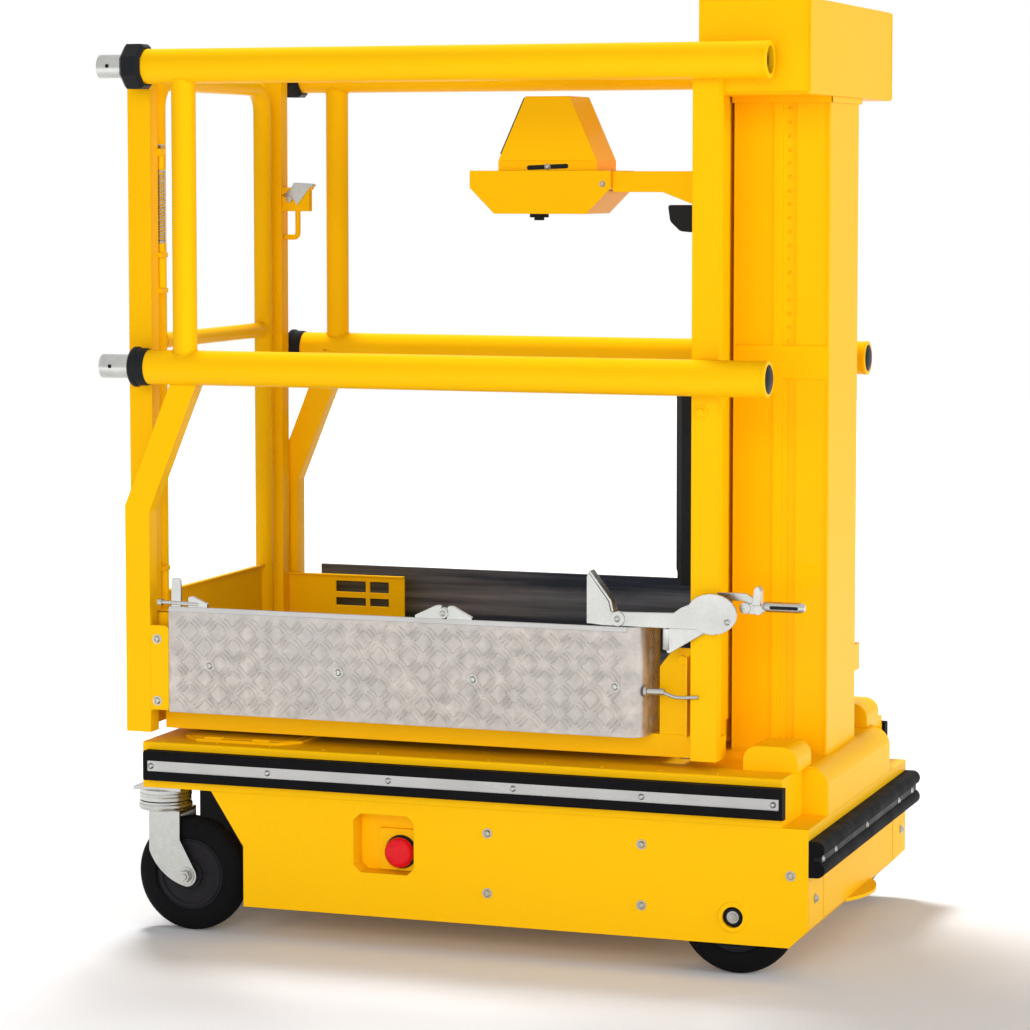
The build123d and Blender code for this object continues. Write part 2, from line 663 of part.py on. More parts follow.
def stile():
    tube = rod("Z", (STILE_X, rail_y, RAIL_MID_Z), RAIL_TOP_Z - RAIL_MID_Z, STILE_R)
    return tube - rail(RAIL_TOP_Z, 0) - rail(RAIL_MID_Z, 0)


def rear_post():
    solid = box_tube(rear_post_x, rear_post_y, (POST_BOTTOM_Z, RAIL_TOP_Z), TUBE_WALL)
    return solid - rail(RAIL_TOP_Z, 0) - rail(RAIL_MID_Z, 0)


def lower_post():
    """Post at the open end and the brace that hangs it from the middle rail."""
    x0, x1 = LOWER_POST_X, LOWER_POST_X + LOWER_POST_L
    run = BRACE_TOP_X - LOWER_POST_X
    outline = [(x0, POST_BOTTOM_Z), (x1, POST_BOTTOM_Z), (x1, BRACE_BEND_Z - BRACE_THIN),
               (x1 + run, RAIL_MID_Z - BRACE_THIN), (x0 + run, RAIL_MID_Z),
               (x0, BRACE_BEND_Z)]
    return side_profile(outline, lower_post_y) - rail(RAIL_MID_Z, 0)


save("top_rails", *both_sides(lambda: rail(RAIL_TOP_Z)))
save("middle_rails", *both_sides(lambda: rail(RAIL_MID_Z)))
save("rail_stiles", *both_sides(stile))
save("rear_posts", *both_sides(rear_post))
save("lower_posts", *both_sides(lower_post))


# Black collars in which the sliding tubes run, and the plugs in the other ends
def collar(z, radius, x, sides):
    ring = rod("X", (x[0], rail_y, z), x[1] - x[0], radius)
    if sides:
        flat = extrude(RegularPolygon(radius, sides, major_radius=False), x[1] - x[0])
        ring = Pos(x[0], rail_y, z) * Rot(0, 90, 0) * Rot(0, 0, 180 / sides) * flat
    ring -= rod("X", (RAIL_X[0], rail_y, z), x[1] - RAIL_X[0], RAIL_R)
    return ring - rod("X", (x[0], rail_y, z), x[1] - x[0], INNER_R + COLLAR_FIT)


def plug(z):
    return rod("X", (RAIL_X[1] - PLUG_LENGTH, rail_y, z), PLUG_LENGTH, RAIL_BORE_R)


save("rail_collars",
     *both_sides(lambda: collar(RAIL_TOP_Z, TOP_COLLAR_R, TOP_COLLAR_X, 8)),
     *both_sides(lambda: collar(RAIL_MID_Z, MID_COLLAR_R, MID_COLLAR_X, 0)))
save("rail_plugs",
     *both_sides(lambda: plug(RAIL_TOP_Z)), *both_sides(lambda: plug(RAIL_MID_Z)))

# Floor frame, deck with toe boards, and back panel
frame_x = (LOWER_POST_X + LOWER_POST_L, rear_post_x[1])


def frame_bars(shrink, drop):
    """All bars of the floor frame, made thinner by shrink on each side."""
    z = (frame_z[0] - drop, frame_z[1] - shrink)
    bar = block((frame_x[0] + shrink, frame_x[1] - shrink),
                (head_y - FRAME_BAR + shrink, head_y - shrink), z)
    bars = bar + mirror(bar, Plane.XZ)
    for x in CROSS_BARS:
        bars += block((x + shrink, x + FRAME_BAR - shrink), (-head_y + shrink,
                      head_y - shrink), z)
    reach = lower_post_y[0] - shrink
    return bars + block((LOWER_POST_X + 2 * SHEET + shrink, frame_x[0] + shrink),
                        (-reach, reach), z)


save("floor_frame", frame_bars(0, 0) - frame_bars(TUBE_WALL, 1))


def deck_outline(inset, z, front):
    """The deck's plan, rounded at the mast end and made smaller by inset."""
    solid = block((front, TOE_BACK_X - inset), (-rail_y + inset, rail_y - inset), z)
    return fillet(solid.edges().filter_by(Axis.Z).group_by(Axis.X)[-1], TOE_CORNER_R - inset)


def toe_board():
    """Side board with a rounded corner and a short return at the mast end."""
    z = (deck_z[0], toe_top_z)
    ring = deck_outline(0, z, TOE_FRONT_X)
    ring -= deck_outline(TOE_T, (z[0] - 1, z[1] + 1), TOE_FRONT_X - 1)
    return ring & block((TOE_FRONT_X, TOE_BACK_X), (rail_y - TOE_RETURN, rail_y), z)


toe_top_z = deck_z[0] + TOE_H
lock_face = -rear_post_y[1]
lock_y = (lock_face - LOCK_GAP - LOCK_T, lock_face - LOCK_GAP)


def placed(points, x, z):
    return [(x + px, z + pz) for px, pz in points]


def deck_lever():
    """Flat lever with a turned-in flange, its boss and the bracket that holds it."""
    lever = side_profile(placed(LEVER_EDGE, rear_post_x[0], toe_top_z), lock_y)
    slope = LEVER_EDGE[2:5] + tuple((x + LOCK_T / 2, z) for x, z in reversed(LEVER_EDGE[2:5]))
    lever += side_profile(placed(slope, rear_post_x[0], toe_top_z),
                          (lock_y[0], lock_y[0] + LOCK_FLANGE))
    lever += rod("Y", (rear_post_x[0] + LEVER_BOSS[0], lock_y[0] - LOCK_T / 2,
                       toe_top_z + LEVER_BOSS[1]), LOCK_T, LEVER_BOSS_R)
    lever += side_profile(placed(LOCK_BRACKET, rear_post_x[0], toe_top_z),
                          (lock_y[0], lock_face))
    return lever + rod("Z", (rear_post_x[0] + LOCK_BRACKET[1][0], lock_y[1],
                             toe_top_z - LOCK_KNUCKLE_H), LOCK_KNUCKLE_H, LOCK_KNUCKLE_R)


def deck_toggle():
    """Arm on the rear post, a knuckle with its flipper, and a round grip."""
    x, y = rear_post_x[1], (lock_face, lock_face + TOGGLE_T)
    length, low, high = TOGGLE_ARM
    toggle = block((x, x + length), y, (toe_top_z + low, toe_top_z + high))
    start, end, low, high = TOGGLE_KNUCKLE
    toggle += block((x + start, x + end), y, (toe_top_z + low, toe_top_z + high))
    toggle += side_profile(placed(TOGGLE_FLIPPER, x, toe_top_z), y)
    return toggle + rod("X", (x + TOGGLE_GRIP_X[0], sum(y) / 2, toe_top_z + TOGGLE_GRIP_Z),
                        TOGGLE_GRIP_X[1] - TOGGLE_GRIP_X[0], TOGGLE_GRIP_R)


save("deck_lock", deck_lever(), deck_toggle())
save("deck_clips", *[side_profile(placed(points, TOE_FRONT_X, toe_top_z),
                                  (-rail_y, -rail_y + CLIP_T)) for points in CLIPS])
save("deck", deck_outline(TOE_T, deck_z, TOE_FRONT_X))
save("toe_boards", *both_sides(toe_board))
save("back_panel", block(panel_x, (-head_y, head_y), (frame_z[1], head_z)))

# Black document box on the back panel
doc_y = DOC_WIDTH / 2
doc = block((panel_x[0] - DOC_DEPTH, panel_x[0]), (-doc_y, doc_y), DOC_Z)
doc = chamfer(doc.edges().group_by(Axis.X)[0], DOC_CHAMFER)
doc -= block((panel_x[0] - DOC_DEPTH + DOC_FRONT_T, panel_x[0] + 1),
             (-doc_y + DOC_WALL, doc_y - DOC_WALL), (DOC_Z[0] + DOC_WALL, DOC_Z[1] - DOC_WALL))
save("document_box", doc)


# Control box on an arm from the back panel
def control_shell(inset, drop):
    """Housing and the tray under it, made smaller by inset and longer downwards by drop."""
    x0, x1 = BOX_X[0] + 1.4 * inset, BOX_X[1] - 1.4 * inset
    foot_z = BOX_TRAY_Z[1] - 2 * inset
    upper = side_profile([(x0, foot_z), (x1, foot_z), (x1, BOX_Z[0]),
                          (x1 - BOX_TOP_INSET, BOX_Z[1] - inset),
                          (x0 + BOX_TOP_INSET, BOX_Z[1] - inset), (x0, BOX_Z[0])],
                         (-BOX_WIDTH / 2 + inset, BOX_WIDTH / 2 - inset))
    x0, x1 = BOX_TRAY_X[0] + inset, BOX_TRAY_X[1] - inset
    z0, z1 = BOX_TRAY_Z[0], BOX_TRAY_Z[1] - inset
    run = BOX_TRAY_CUT * (1 + drop / (z1 - z0))
    edge_z = z1 - BOX_TRAY_EDGE
    lower = side_profile([(x0, z1), (x0, edge_z), (x0 + run, z0 - drop), (x1 - run, z0 - drop),
                          (x1, edge_z), (x1, z1)],
                         (-BOX_TRAY_WIDTH / 2 + inset, BOX_TRAY_WIDTH / 2 - inset))
    return upper + lower


save("control_box", control_shell(0, 0) - control_shell(BOX_WALL, 1))
arm_y = (-BOX_WIDTH / 2, -BOX_WIDTH / 2 + ARM_WIDTH)
gusset = [(panel_x[0], ARM_Z[0] - ARM_GUSSET_Z), (panel_x[0], ARM_Z[0]),
          (panel_x[0] - ARM_GUSSET_X, ARM_Z[0])]
save("control_arm",
     block((BOX_TRAY_X[1], panel_x[0]), arm_y, ARM_Z) + side_profile(gusset, arm_y))


# Sliding end frame: four inner tubes, two posts and the extension deck
def inner_tube(z, radius=INNER_R):
    return rod("X", (INNER_X, rail_y, z), INNER_LENGTH, radius)


def end_post():
    solid = box_tube(end_post_x, end_post_y, (ext_z[0], RAIL_TOP_Z + END_POST_RISE), TUBE_WALL)
    for z in (RAIL_TOP_Z, RAIL_MID_Z):
        ear = block(BRACKET_X, (end_post_y[1], rail_y), (z - BRACKET_H / 2, z + BRACKET_H / 2))
        solid += ear - inner_tube(z)
    return solid


save("sliding_tubes",
     *both_sides(lambda: inner_tube(RAIL_TOP_Z)), *both_sides(lambda: inner_tube(RAIL_MID_Z)))
near_post, far_post = both_sides(end_post)
end_frame = near_post + far_post + block(end_post_x, (-end_post_y[0], end_post_y[0]),
                                         (ext_z[0], ext_z[1] + SILL_RISE))
for z in HINGE_Z:
    end_frame += rod("Z", (hinge_x, hinge_y, z), HINGE_LENGTH, HINGE_PIN_R)
    for ear_z in (z, z + HINGE_LENGTH - HINGE_EAR):
        end_frame += block((hinge_x - HINGE_R, hinge_x + HINGE_R),
                           (-end_post_y[0] - 1, hinge_y + HINGE_R), (ear_z, ear_z + HINGE_EAR))
pin_z = HINGE_Z[1] + HINGE_LENGTH
end_frame += rod("Z", (hinge_x, hinge_y, pin_z - 1), SPRING_EAR_Z[1] - pin_z + 1, HINGE_PIN_R)
end_frame += block((hinge_x - SPRING_EAR_HALF, hinge_x + SPRING_EAR_HALF),
                   (-end_post_y[0] - 1, hinge_y + SPRING_EAR_HALF), SPRING_EAR_Z)
save("end_frame", end_frame)
save("gate_spring", rod("Z", (hinge_x, hinge_y, SPRING_Z[0]), SPRING_Z[1] - SPRING_Z[0],
                        SPRING_R, HINGE_PIN_R))
save("extension_deck", block((end_post_x[1], END_POST_X + EXT_DECK_LENGTH),
                             (-end_post_y[1], end_post_y[1]), ext_z))


def gate_latch():
    """Latch plate on the far post with its hook."""
    face = end_post_x[1]
    latch = block((face, face + LATCH_REACH), LATCH_Y, LATCH_Z)
    return latch + side_profile(placed(LATCH_HOOK, face, LATCH_Z[1]), LATCH_Y)


save("gate_latch", gate_latch())


def extension_toe_board():
    return block((END_POST_X, END_POST_X + EXT_TOE_LENGTH), (end_post_y[1], end_post_y[1] + TOE_T),
                 (ext_z[0], ext_z[0] + EXT_TOE_H))


save("extension_toe_boards", *both_sides(extension_toe_board))

# Gate: a bent tube frame with a middle tube and a toe board, hinged on the near post
gate_corners = (
    # sign of y, bend centre's z, angle at which the bend starts
    (1, GATE_BOTTOM_Z + GATE_CORNER_R, -90),
    (1, GATE_TOP_Z - GATE_CORNER_R, 0),
    (-1, GATE_TOP_Z - GATE_CORNER_R, 90),
    (-1, GATE_BOTTOM_Z + GATE_CORNER_R, 180),
)
route = [(0, GATE_BOTTOM_Z)]
for sign, centre_z, start_angle in gate_corners:
    for step in range(GATE_BEND_STEPS + 1):
        angle = radians(start_angle + 90 * step / GATE_BEND_STEPS)
        route.append((sign * (gate_half - GATE_CORNER_R) + GATE_CORNER_R * cos(angle),
                      centre_z + GATE_CORNER_R * sin(angle)))
route.append((0, GATE_BOTTOM_Z))
path = Polyline(*[(gate_x, y, z) for y, z in route])
gate = sweep(Plane(origin=path @ 0, z_dir=path % 0) * Circle(GATE_R), path=path,
             transition=Transition.RIGHT)
gate += rod("Y", (gate_x, -gate_half, GATE_MID_Z), 2 * gate_half, GATE_BAR_R)
for z in HINGE_Z:
    low = z + HINGE_EAR + HINGE_PLAY
    high = z + HINGE_LENGTH - HINGE_EAR - HINGE_PLAY
    gate += rod("Z", (hinge_x, hinge_y, low), high - low, HINGE_R)
    gate += block((gate_x, hinge_x), (hinge_y - HINGE_R / 3, -gate_half), (low + 4, high - 4))
    gate -= rod("Z", (hinge_x, hinge_y, low - 1), high - low + 2, HINGE_PIN_R + AXLE_CLEAR)
save("gate_frame", gate)
toe_half = gate_half - GATE_R
toe_plate = block((gate_x - TOE_T / 2, gate_x + TOE_T / 2), (-toe_half, toe_half),
                  (GATE_BOTTOM_Z + GATE_R, GATE_BOTTOM_Z + GATE_TOE_H))
low_edges = toe_plate.edges().filter_by(Axis.X).group_by(Axis.Z)[0]
save("gate_toe_board", chamfer(low_edges, GATE_CORNER_R - GATE_R + 4))
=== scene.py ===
"""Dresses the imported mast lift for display: finishes, fittings, fasteners and the stage.

Laid out as a Blender add-on and run as a script. Sizes in the piece functions are millimetres
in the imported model's frame: +Z up, -Y the near side, -X the gate end.
"""

import json
from math import cos, pi, radians, sin

import bmesh
import bpy
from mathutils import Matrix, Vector

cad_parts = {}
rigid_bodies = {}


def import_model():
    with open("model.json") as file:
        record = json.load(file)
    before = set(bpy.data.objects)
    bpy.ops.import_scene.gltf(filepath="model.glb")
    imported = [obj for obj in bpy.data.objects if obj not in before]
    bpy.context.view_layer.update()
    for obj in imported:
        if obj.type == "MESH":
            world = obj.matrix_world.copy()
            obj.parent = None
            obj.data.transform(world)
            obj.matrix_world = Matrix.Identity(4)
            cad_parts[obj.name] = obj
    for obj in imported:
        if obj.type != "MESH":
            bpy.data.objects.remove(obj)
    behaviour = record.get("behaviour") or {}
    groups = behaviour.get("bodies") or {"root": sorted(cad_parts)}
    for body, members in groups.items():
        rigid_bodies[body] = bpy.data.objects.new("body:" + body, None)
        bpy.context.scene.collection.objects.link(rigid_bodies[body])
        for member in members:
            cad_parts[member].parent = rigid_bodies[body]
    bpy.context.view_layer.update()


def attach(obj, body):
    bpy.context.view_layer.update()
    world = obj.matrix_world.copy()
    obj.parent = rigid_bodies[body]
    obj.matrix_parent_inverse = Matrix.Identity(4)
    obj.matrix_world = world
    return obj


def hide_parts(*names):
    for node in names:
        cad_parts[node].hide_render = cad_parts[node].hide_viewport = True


bl_info = {
    "name": "Mast lift dressing",
    "version": (1, 0, 0),
    "blender": (4, 5, 0),
    "location": "3D View > Sidebar > Mast lift",
    "description": "Adds finishes, fittings, fasteners and a stage to the packed mast lift",
    "category": "Object",
}

for leftover in list(bpy.data.objects):
    bpy.data.objects.remove(leftover)
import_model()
MM = 0.001
CREASE = radians(32)

# Places that several pieces share, in millimetres
WHEEL_R = 100.0
WHEEL_Y = 315.0
CASTER_AXLE_X = -495.0
SWIVEL_X = -549.0
DRIVE_X = 492.0
STOP_X = -103.0
STOP_Z = 164.0
RAIL_Y = 346.0
RAIL_MID_Z = 985.0
RAIL_TOP_Z = 1501.0
TOE_BOARD_TOP_Z = 569.5
GATE_X = -596.5
HINGE_X = -576.5
HINGE_Y = -258.0
SIDES = (("near", -1), ("far", 1))


# Settings


def colour_setting(name, description, default):
    """A colour property of four parts, shown as a colour field."""
    return bpy.props.FloatVectorProperty(
        name=name, description=description, subtype="COLOR", size=4, min=0.0, max=1.0,
        default=(*default, 1.0))


def length_setting(name, description, default):
    """A length property in metres."""
    return bpy.props.FloatProperty(
        name=name, description=description, default=default, min=0.0, unit="LENGTH",
        subtype="DISTANCE", precision=4)


def share_setting(name, description, default):
    """A share between nought and one."""
    return bpy.props.FloatProperty(
        name=name, description=description, default=default, min=0.0, max=1.0,
        subtype="FACTOR")


class LiftFinishSettings(bpy.types.PropertyGroup):
    paint: colour_setting("Paint", "Powder coat on sheet and tube", (0.97, 0.525, 0.002))
    rubber: colour_setting("Rubber", "Bumpers and seals", (0.005, 0.005, 0.006))
    aluminium: colour_setting("Aluminium", "Drawn strips and mast sections", (0.44, 0.435, 0.425))
    tread: colour_setting("Tread plate", "Deck and toe boards", (0.45, 0.405, 0.365))
    zinc: colour_setting("Zinc", "Plated steel of casters and tubes", (0.50, 0.505, 0.48))
    tyre: colour_setting("Tyre", "Solid rubber of the wheels", (0.005, 0.005, 0.006))
    hub: colour_setting("Hub", "Cast wheel hubs and motors", (0.014, 0.013, 0.016))
    plastic: colour_setting("Black plastic", "Collars, plugs and boxes", (0.014, 0.015, 0.017))
    signal: colour_setting("Stop red", "The stop button", (0.76, 0.003, 0.012))
    battery: colour_setting("Battery case", "The battery pack", (0.07, 0.07, 0.075))
    wear: share_setting("Wear", "How far paint thins along edges", 0.35)
    dust: share_setting("Dust", "How much dust dulls the surfaces", 0.30)


class LiftFastenerSettings(bpy.types.PropertyGroup):
    bolt_radius: length_setting("Bolt radius", "Hexagon heads, to their corners", 0.0085)
    button_radius: length_setting("Button radius", "Round heads of the sheet's bolts", 0.0065)
    screw_radius: length_setting("Screw radius", "Round heads of the small screws", 0.0050)
    rivet_radius: length_setting("Rivet radius", "Blind rivets in the sheet", 0.0032)
    seed: bpy.props.IntProperty(
        name="Seed", description="Turns each head about its own axis", default=7, min=0)


class LiftFittingSettings(bpy.types.PropertyGroup):
    lug_pitch: length_setting("Tread pitch", "Distance between the cells of the tread plate", 0.027)
    lug_height: length_setting("Tread height", "Height of the bars of the tread plate", 0.0013)
    spring_wire: length_setting("Spring wire", "Wire radius of the gate's spring", 0.0014)
    spring_radius: length_setting("Spring radius", "Coil radius of the gate's spring", 0.0078)
    weld_radius: length_setting("Weld bead", "Radius of the weld beads", 0.0022)
    tyre_shoulder: length_setting("Tyre shoulder", "Rounding of the tyres' shoulders", 0.022)


class LiftStageSettings(bpy.types.PropertyGroup):
    floor: colour_setting("Floor", "Colour of the floor", (0.83, 0.83, 0.84))
    key_power: bpy.props.FloatProperty(
        name="Key light", description="Power of the large front lamp", default=222.0, min=0.0,
        unit="POWER")
    fill_power: bpy.props.FloatProperty(
        name="Side light", description="Power of the lamp off the mast end", default=168.0,
        min=0.0, unit="POWER")
    back_power: bpy.props.FloatProperty(
        name="Back light", description="Power of the lamp behind, which throws the shadow",
        default=340.0, min=0.0, unit="POWER")
    floor_lift: share_setting("Floor lift", "How far the floor is lifted to white for the camera",
                              0.03)
    sky: bpy.props.FloatProperty(
        name="Sky", description="Strength of the even light from all sides", default=0.27,
        min=0.0)


# Meshes


def spot(axis, a, b, along):
    """A point from the two coordinates seen along an axis and its place on that axis."""
    return Vector({"X": (along, a, b), "Y": (a, along, b), "Z": (a, b, along)}[axis])


def prism(bm, outline, axis, low, high):
    """Adds a solid with this outline, seen along an axis, between two places on it."""
    count = len(outline)
    rings = [[bm.verts.new(spot(axis, a, b, place)) for a, b in outline] for place in (low, high)]
    bm.faces.new(list(reversed(rings[0])))
    bm.faces.new(rings[1])
    for i in range(count):
        j = (i + 1) % count
        bm.faces.new((rings[0][i], rings[0][j], rings[1][j], rings[1][i]))


def slab(bm, x, y, z):
    """Adds a box between pairs of places on each axis."""
    prism(bm, [(x[0], y[0]), (x[1], y[0]), (x[1], y[1]), (x[0], y[1])], "Z", z[0], z[1])


def lathe(bm, profile, centre, axis, steps=40, closed=False, start=0.0):
    """Turns a profile of (radius, height) about an axis through centre, from a start angle."""
    centre = Vector(centre)
    rings = []
    for radius, height in profile:
        if radius == 0:
            rings.append([bm.verts.new(centre + spot(axis, 0, 0, height))])
            continue
        ring = []
        for step in range(steps):
            angle = start + 2 * pi * step / steps
            ring.append(bm.verts.new(
                centre + spot(axis, radius * cos(angle), radius * sin(angle), height)))
        rings.append(ring)
    pairs = list(zip(rings, rings[1:]))
    if closed:
        pairs.append((rings[-1], rings[0]))
    for low, high in pairs:
        if len(low) == len(high) == 1:
            continue
        for i in range(steps):
            j = (i + 1) % steps
            if len(low) == 1:
                bm.faces.new((low[0], high[j], high[i]))
            elif len(high) == 1:
                bm.faces.new((low[i], low[j], high[0]))
            else:
                bm.faces.new((low[i], low[j], high[j], high[i]))


def rounded_path(points, radius, steps=6, closed=False):
    """Points of a line whose corners are rounded off."""
    points = [Vector(p) for p in points]
    path = []
    count = len(points)
    for i, corner in enumerate(points):
        if not closed and i in (0, count - 1):
            path.append(corner)
            continue
        before = (points[i - 1] - corner).normalized()
        after = (points[(i + 1) % count] - corner).normalized()
        turn = before.angle(after)
        if turn > radians(179):
            path.append(corner)
            continue
        cut = radius / abs(sin(turn / 2)) * cos(turn / 2)
        centre = corner + (before + after).normalized() * (radius / sin(turn / 2))
        first, last = corner + before * cut - centre, corner + after * cut - centre
        swing = first.angle(last)
        for step in range(steps + 1):
            share = step / steps
            path.append(centre + (first * sin((1 - share) * swing) + last * sin(share * swing))
                        / sin(swing))
    return path


def sweep(bm, path, radius, sides=16, closed=False, flat=1.0, caps=True):
    """Adds a round bar along a path, or one pressed flat across its first normal."""
    path = [Vector(p) for p in path]
    count = len(path)
    rings = []
    normal = None
    for i, point in enumerate(path):
        if closed:
            tangent = (path[(i + 1) % count] - path[i - 1]).normalized()
        elif i == 0:
            tangent = (path[1] - path[0]).normalized()
        elif i == count - 1:
            tangent = (path[-1] - path[-2]).normalized()
        else:
            tangent = ((path[i + 1] - point).normalized() + (point - path[i - 1]).normalized())
            tangent.normalize()
        if normal is None:
            normal = tangent.orthogonal().normalized()
        else:
            normal = (normal - tangent * normal.dot(tangent)).normalized()
        other = tangent.cross(normal)
        size = radius[i] if isinstance(radius, (list, tuple)) else radius
        rings.append([
            bm.verts.new(point + normal * (size * flat * cos(2 * pi * s / sides))
                         + other * (size * sin(2 * pi * s / sides))) for s in range(sides)])
    pairs = list(zip(rings, rings[1:]))
    if closed:
        pairs.append((rings[-1], rings[0]))
    for low, high in pairs:
        for i in range(sides):
            j = (i + 1) % sides
            bm.faces.new((low[i], low[j], high[j], high[i]))
    if not closed and caps:
        bm.faces.new(list(reversed(rings[0])))
        bm.faces.new(rings[-1])


def rounded_outline(points, radius, steps=5):
    """Corners of a flat outline rounded off; radius is one number or one for each corner."""
    out = []
    count = len(points)
    for i, (a, b) in enumerate(points):
        r = radius[i] if isinstance(radius, (list, tuple)) else radius
        corner = Vector((a, b, 0))
        before = Vector((*points[i - 1], 0)) - corner
        after = Vector((*points[(i + 1) % count], 0)) - corner
        turn = before.angle(after)
        if r <= 0 or turn > radians(178):
            out.append((a, b))
            continue
        before.normalize()
        after.normalize()
        cut = r * cos(turn / 2) / sin(turn / 2)
        centre = corner + (before + after).normalized() * (r / sin(turn / 2))
        first, last = corner + before * cut - centre, corner + after * cut - centre
        swing = first.angle(last)
        for step in range(steps + 1):
            share = step / steps
            point = centre + (first * sin((1 - share) * swing) + last * sin(share * swing)) / sin(swing)
            out.append((point.x, point.y))
    return out


def circle_outline(a, b, radius, steps=24):
    """A round outline about a centre."""
    return [(a + radius * cos(2 * pi * s / steps), b + radius * sin(2 * pi * s / steps))
            for s in range(steps)]


def placed(name, mesh, body, slot_name):
    """An object at the origin with the slot's finish, which rides on a body."""
    piece = bpy.data.objects.new(name, mesh)
    bpy.context.scene.collection.objects.link(piece)
    mesh.materials.clear()
    mesh.materials.append(bpy.data.materials[slot_name])
    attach(piece, body)
    return piece


def settle(name, bm, body, slot_name, soften=0.0, replaced=None):
    """Closes a mesh made in millimetres and makes it a piece, with softened edges if asked.

    A piece that replaces a plain one names it.
    """
    bmesh.ops.recalc_face_normals(bm, faces=bm.faces)
    bmesh.ops.scale(bm, vec=(MM, MM, MM), verts=bm.verts)
    for face in bm.faces:
        face.smooth = True
    for edge in bm.edges:
        edge.smooth = not (len(edge.link_faces) == 2
                           and edge.calc_face_angle(0.0) > CREASE)
    mesh = bpy.data.meshes.new(name)
    bm.to_mesh(mesh)
    bm.free()
    piece = placed(name, mesh, body, slot_name)
    if soften:
        edges = piece.modifiers.new("Softened edges", "BEVEL")
        edges.width = soften * MM
        edges.segments = 2
        edges.limit_method = "ANGLE"
        edges.angle_limit = CREASE
        edges.harden_normals = True
        edges.use_clamp_overlap = True
        for edge in mesh.edges:
            edge.use_edge_sharp = False
    if replaced:
        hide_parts(replaced)
    return piece


# Shader groups


def new_group(name, inputs, outputs):
    """A shader node group with its sockets, and its two end nodes."""
    group = bpy.data.node_groups.new(name, "ShaderNodeTree")
    for label, kind, default in inputs:
        socket = group.interface.new_socket(label, in_out="INPUT", socket_type=kind)
        if default is not None:
            socket.default_value = default
    for label, kind in outputs:
        group.interface.new_socket(label, in_out="OUTPUT", socket_type=kind)
    start = group.nodes.new("NodeGroupInput")
    end = group.nodes.new("NodeGroupOutput")
    return group, start, end


def node(tree, kind, links=(), **values):
    """A node with its settings, and its inputs set or linked by name or number."""
    made = tree.nodes.new(kind)
    for key, value in values.items():
        setattr(made, key, value)
    for socket, source in dict(links).items():
        if isinstance(source, bpy.types.NodeSocket):
            tree.links.new(source, made.inputs[socket])
        else:
            made.inputs[socket].default_value = source
    return made


def product(tree, first, second, clamped=False):
    """The product of two values."""
    made = node(tree, "ShaderNodeMath", {0: first, 1: second}, operation="MULTIPLY",
                use_clamp=clamped)
    return made.outputs[0]


def ranged(tree, value, low, high, start=0.0, end=1.0):
    """A value's place between low and high, spread from start to end."""
    made = node(tree, "ShaderNodeMapRange", {
        "Value": value, "From Min": low, "From Max": high, "To Min": start, "To Max": end})
    return made.outputs["Result"]


def noise(tree, place, scale, detail, roughness=0.5):
    """Soft noise over a place, as a value about one half."""
    made = node(tree, "ShaderNodeTexNoise", {
        "Vector": place, "Scale": scale, "Detail": detail, "Roughness": roughness})
    return made.outputs["Fac"]


def orange_peel_group():
    """Height of the fine ripple of powder coat."""
    group, start, end = new_group(
        "Orange peel",
        [("Vector", "NodeSocketVector", None), ("Scale", "NodeSocketFloat", 420.0)],
        [("Height", "NodeSocketFloat")])
    ripple = noise(group, start.outputs["Vector"], start.outputs["Scale"], 1.5, 0.4)
    group.links.new(ripple, end.inputs["Height"])
    return group


def rounded_edge_group():
    """Normal that rounds sharp edges, and a mask of where those edges are."""
    group, start, end = new_group(
        "Rounded edge", [("Radius", "NodeSocketFloat", 0.0012)],
        [("Normal", "NodeSocketVector"), ("Edge", "NodeSocketFloat")])
    edge = node(group, "ShaderNodeBevel", {"Radius": start.outputs["Radius"]}, samples=4)
    plain = node(group, "ShaderNodeNewGeometry")
    facing = node(group, "ShaderNodeVectorMath",
                  {0: edge.outputs["Normal"], 1: plain.outputs["Normal"]},
                  operation="DOT_PRODUCT")
    mask = ranged(group, facing.outputs["Value"], 0.995, 0.80)
    group.links.new(edge.outputs["Normal"], end.inputs["Normal"])
    group.links.new(mask, end.inputs["Edge"])
    return group


def dust_group():
    """Mask of settled dust: more on faces that look up and low on the machine."""
    group, start, end = new_group(
        "Settled dust",
        [("Vector", "NodeSocketVector", None), ("Amount", "NodeSocketFloat", 0.3)],
        [("Mask", "NodeSocketFloat")])
    clouds = noise(group, start.outputs["Vector"], 7.0, 6.0, 0.62)
    grain = noise(group, start.outputs["Vector"], 160.0, 3.0, 0.7)
    spread = ranged(group, product(group, clouds, grain), 0.16, 0.44)
    up = node(group, "ShaderNodeNewGeometry")
    split = node(group, "ShaderNodeSeparateXYZ", {0: up.outputs["Normal"]})
    lying = ranged(group, split.outputs["Z"], -0.2, 1.0, 0.25, 1.0)
    place = node(group, "ShaderNodeSeparateXYZ", {0: start.outputs["Vector"]})
    low = ranged(group, place.outputs["Z"], 0.05, 0.9, 1.0, 0.35)
    settled = product(group, product(group, spread, lying), low)
    mask = product(group, settled, start.outputs["Amount"], clamped=True)
    group.links.new(mask, end.inputs["Mask"])
    return group


def grain_and_reflection_bands_group():
    """Streaks along one axis, as a value about one half: the grain of brush-finished or drawn metal,
    and the bands of the tread plate's painted reflection.
    """
    group, start, end = new_group(
        "Grain and reflection bands",
        [("Vector", "NodeSocketVector", None), ("Stretch", "NodeSocketVector", (6.0, 700.0, 700.0))],
        [("Streaks", "NodeSocketFloat")])
    scaled = node(group, "ShaderNodeVectorMath",
                  {0: start.outputs["Vector"], 1: start.outputs["Stretch"]},
                  operation="MULTIPLY")
    streaks = noise(group, scaled.outputs["Vector"], 1.0, 4.0, 0.6)
    group.links.new(streaks, end.inputs["Streaks"])
    return group


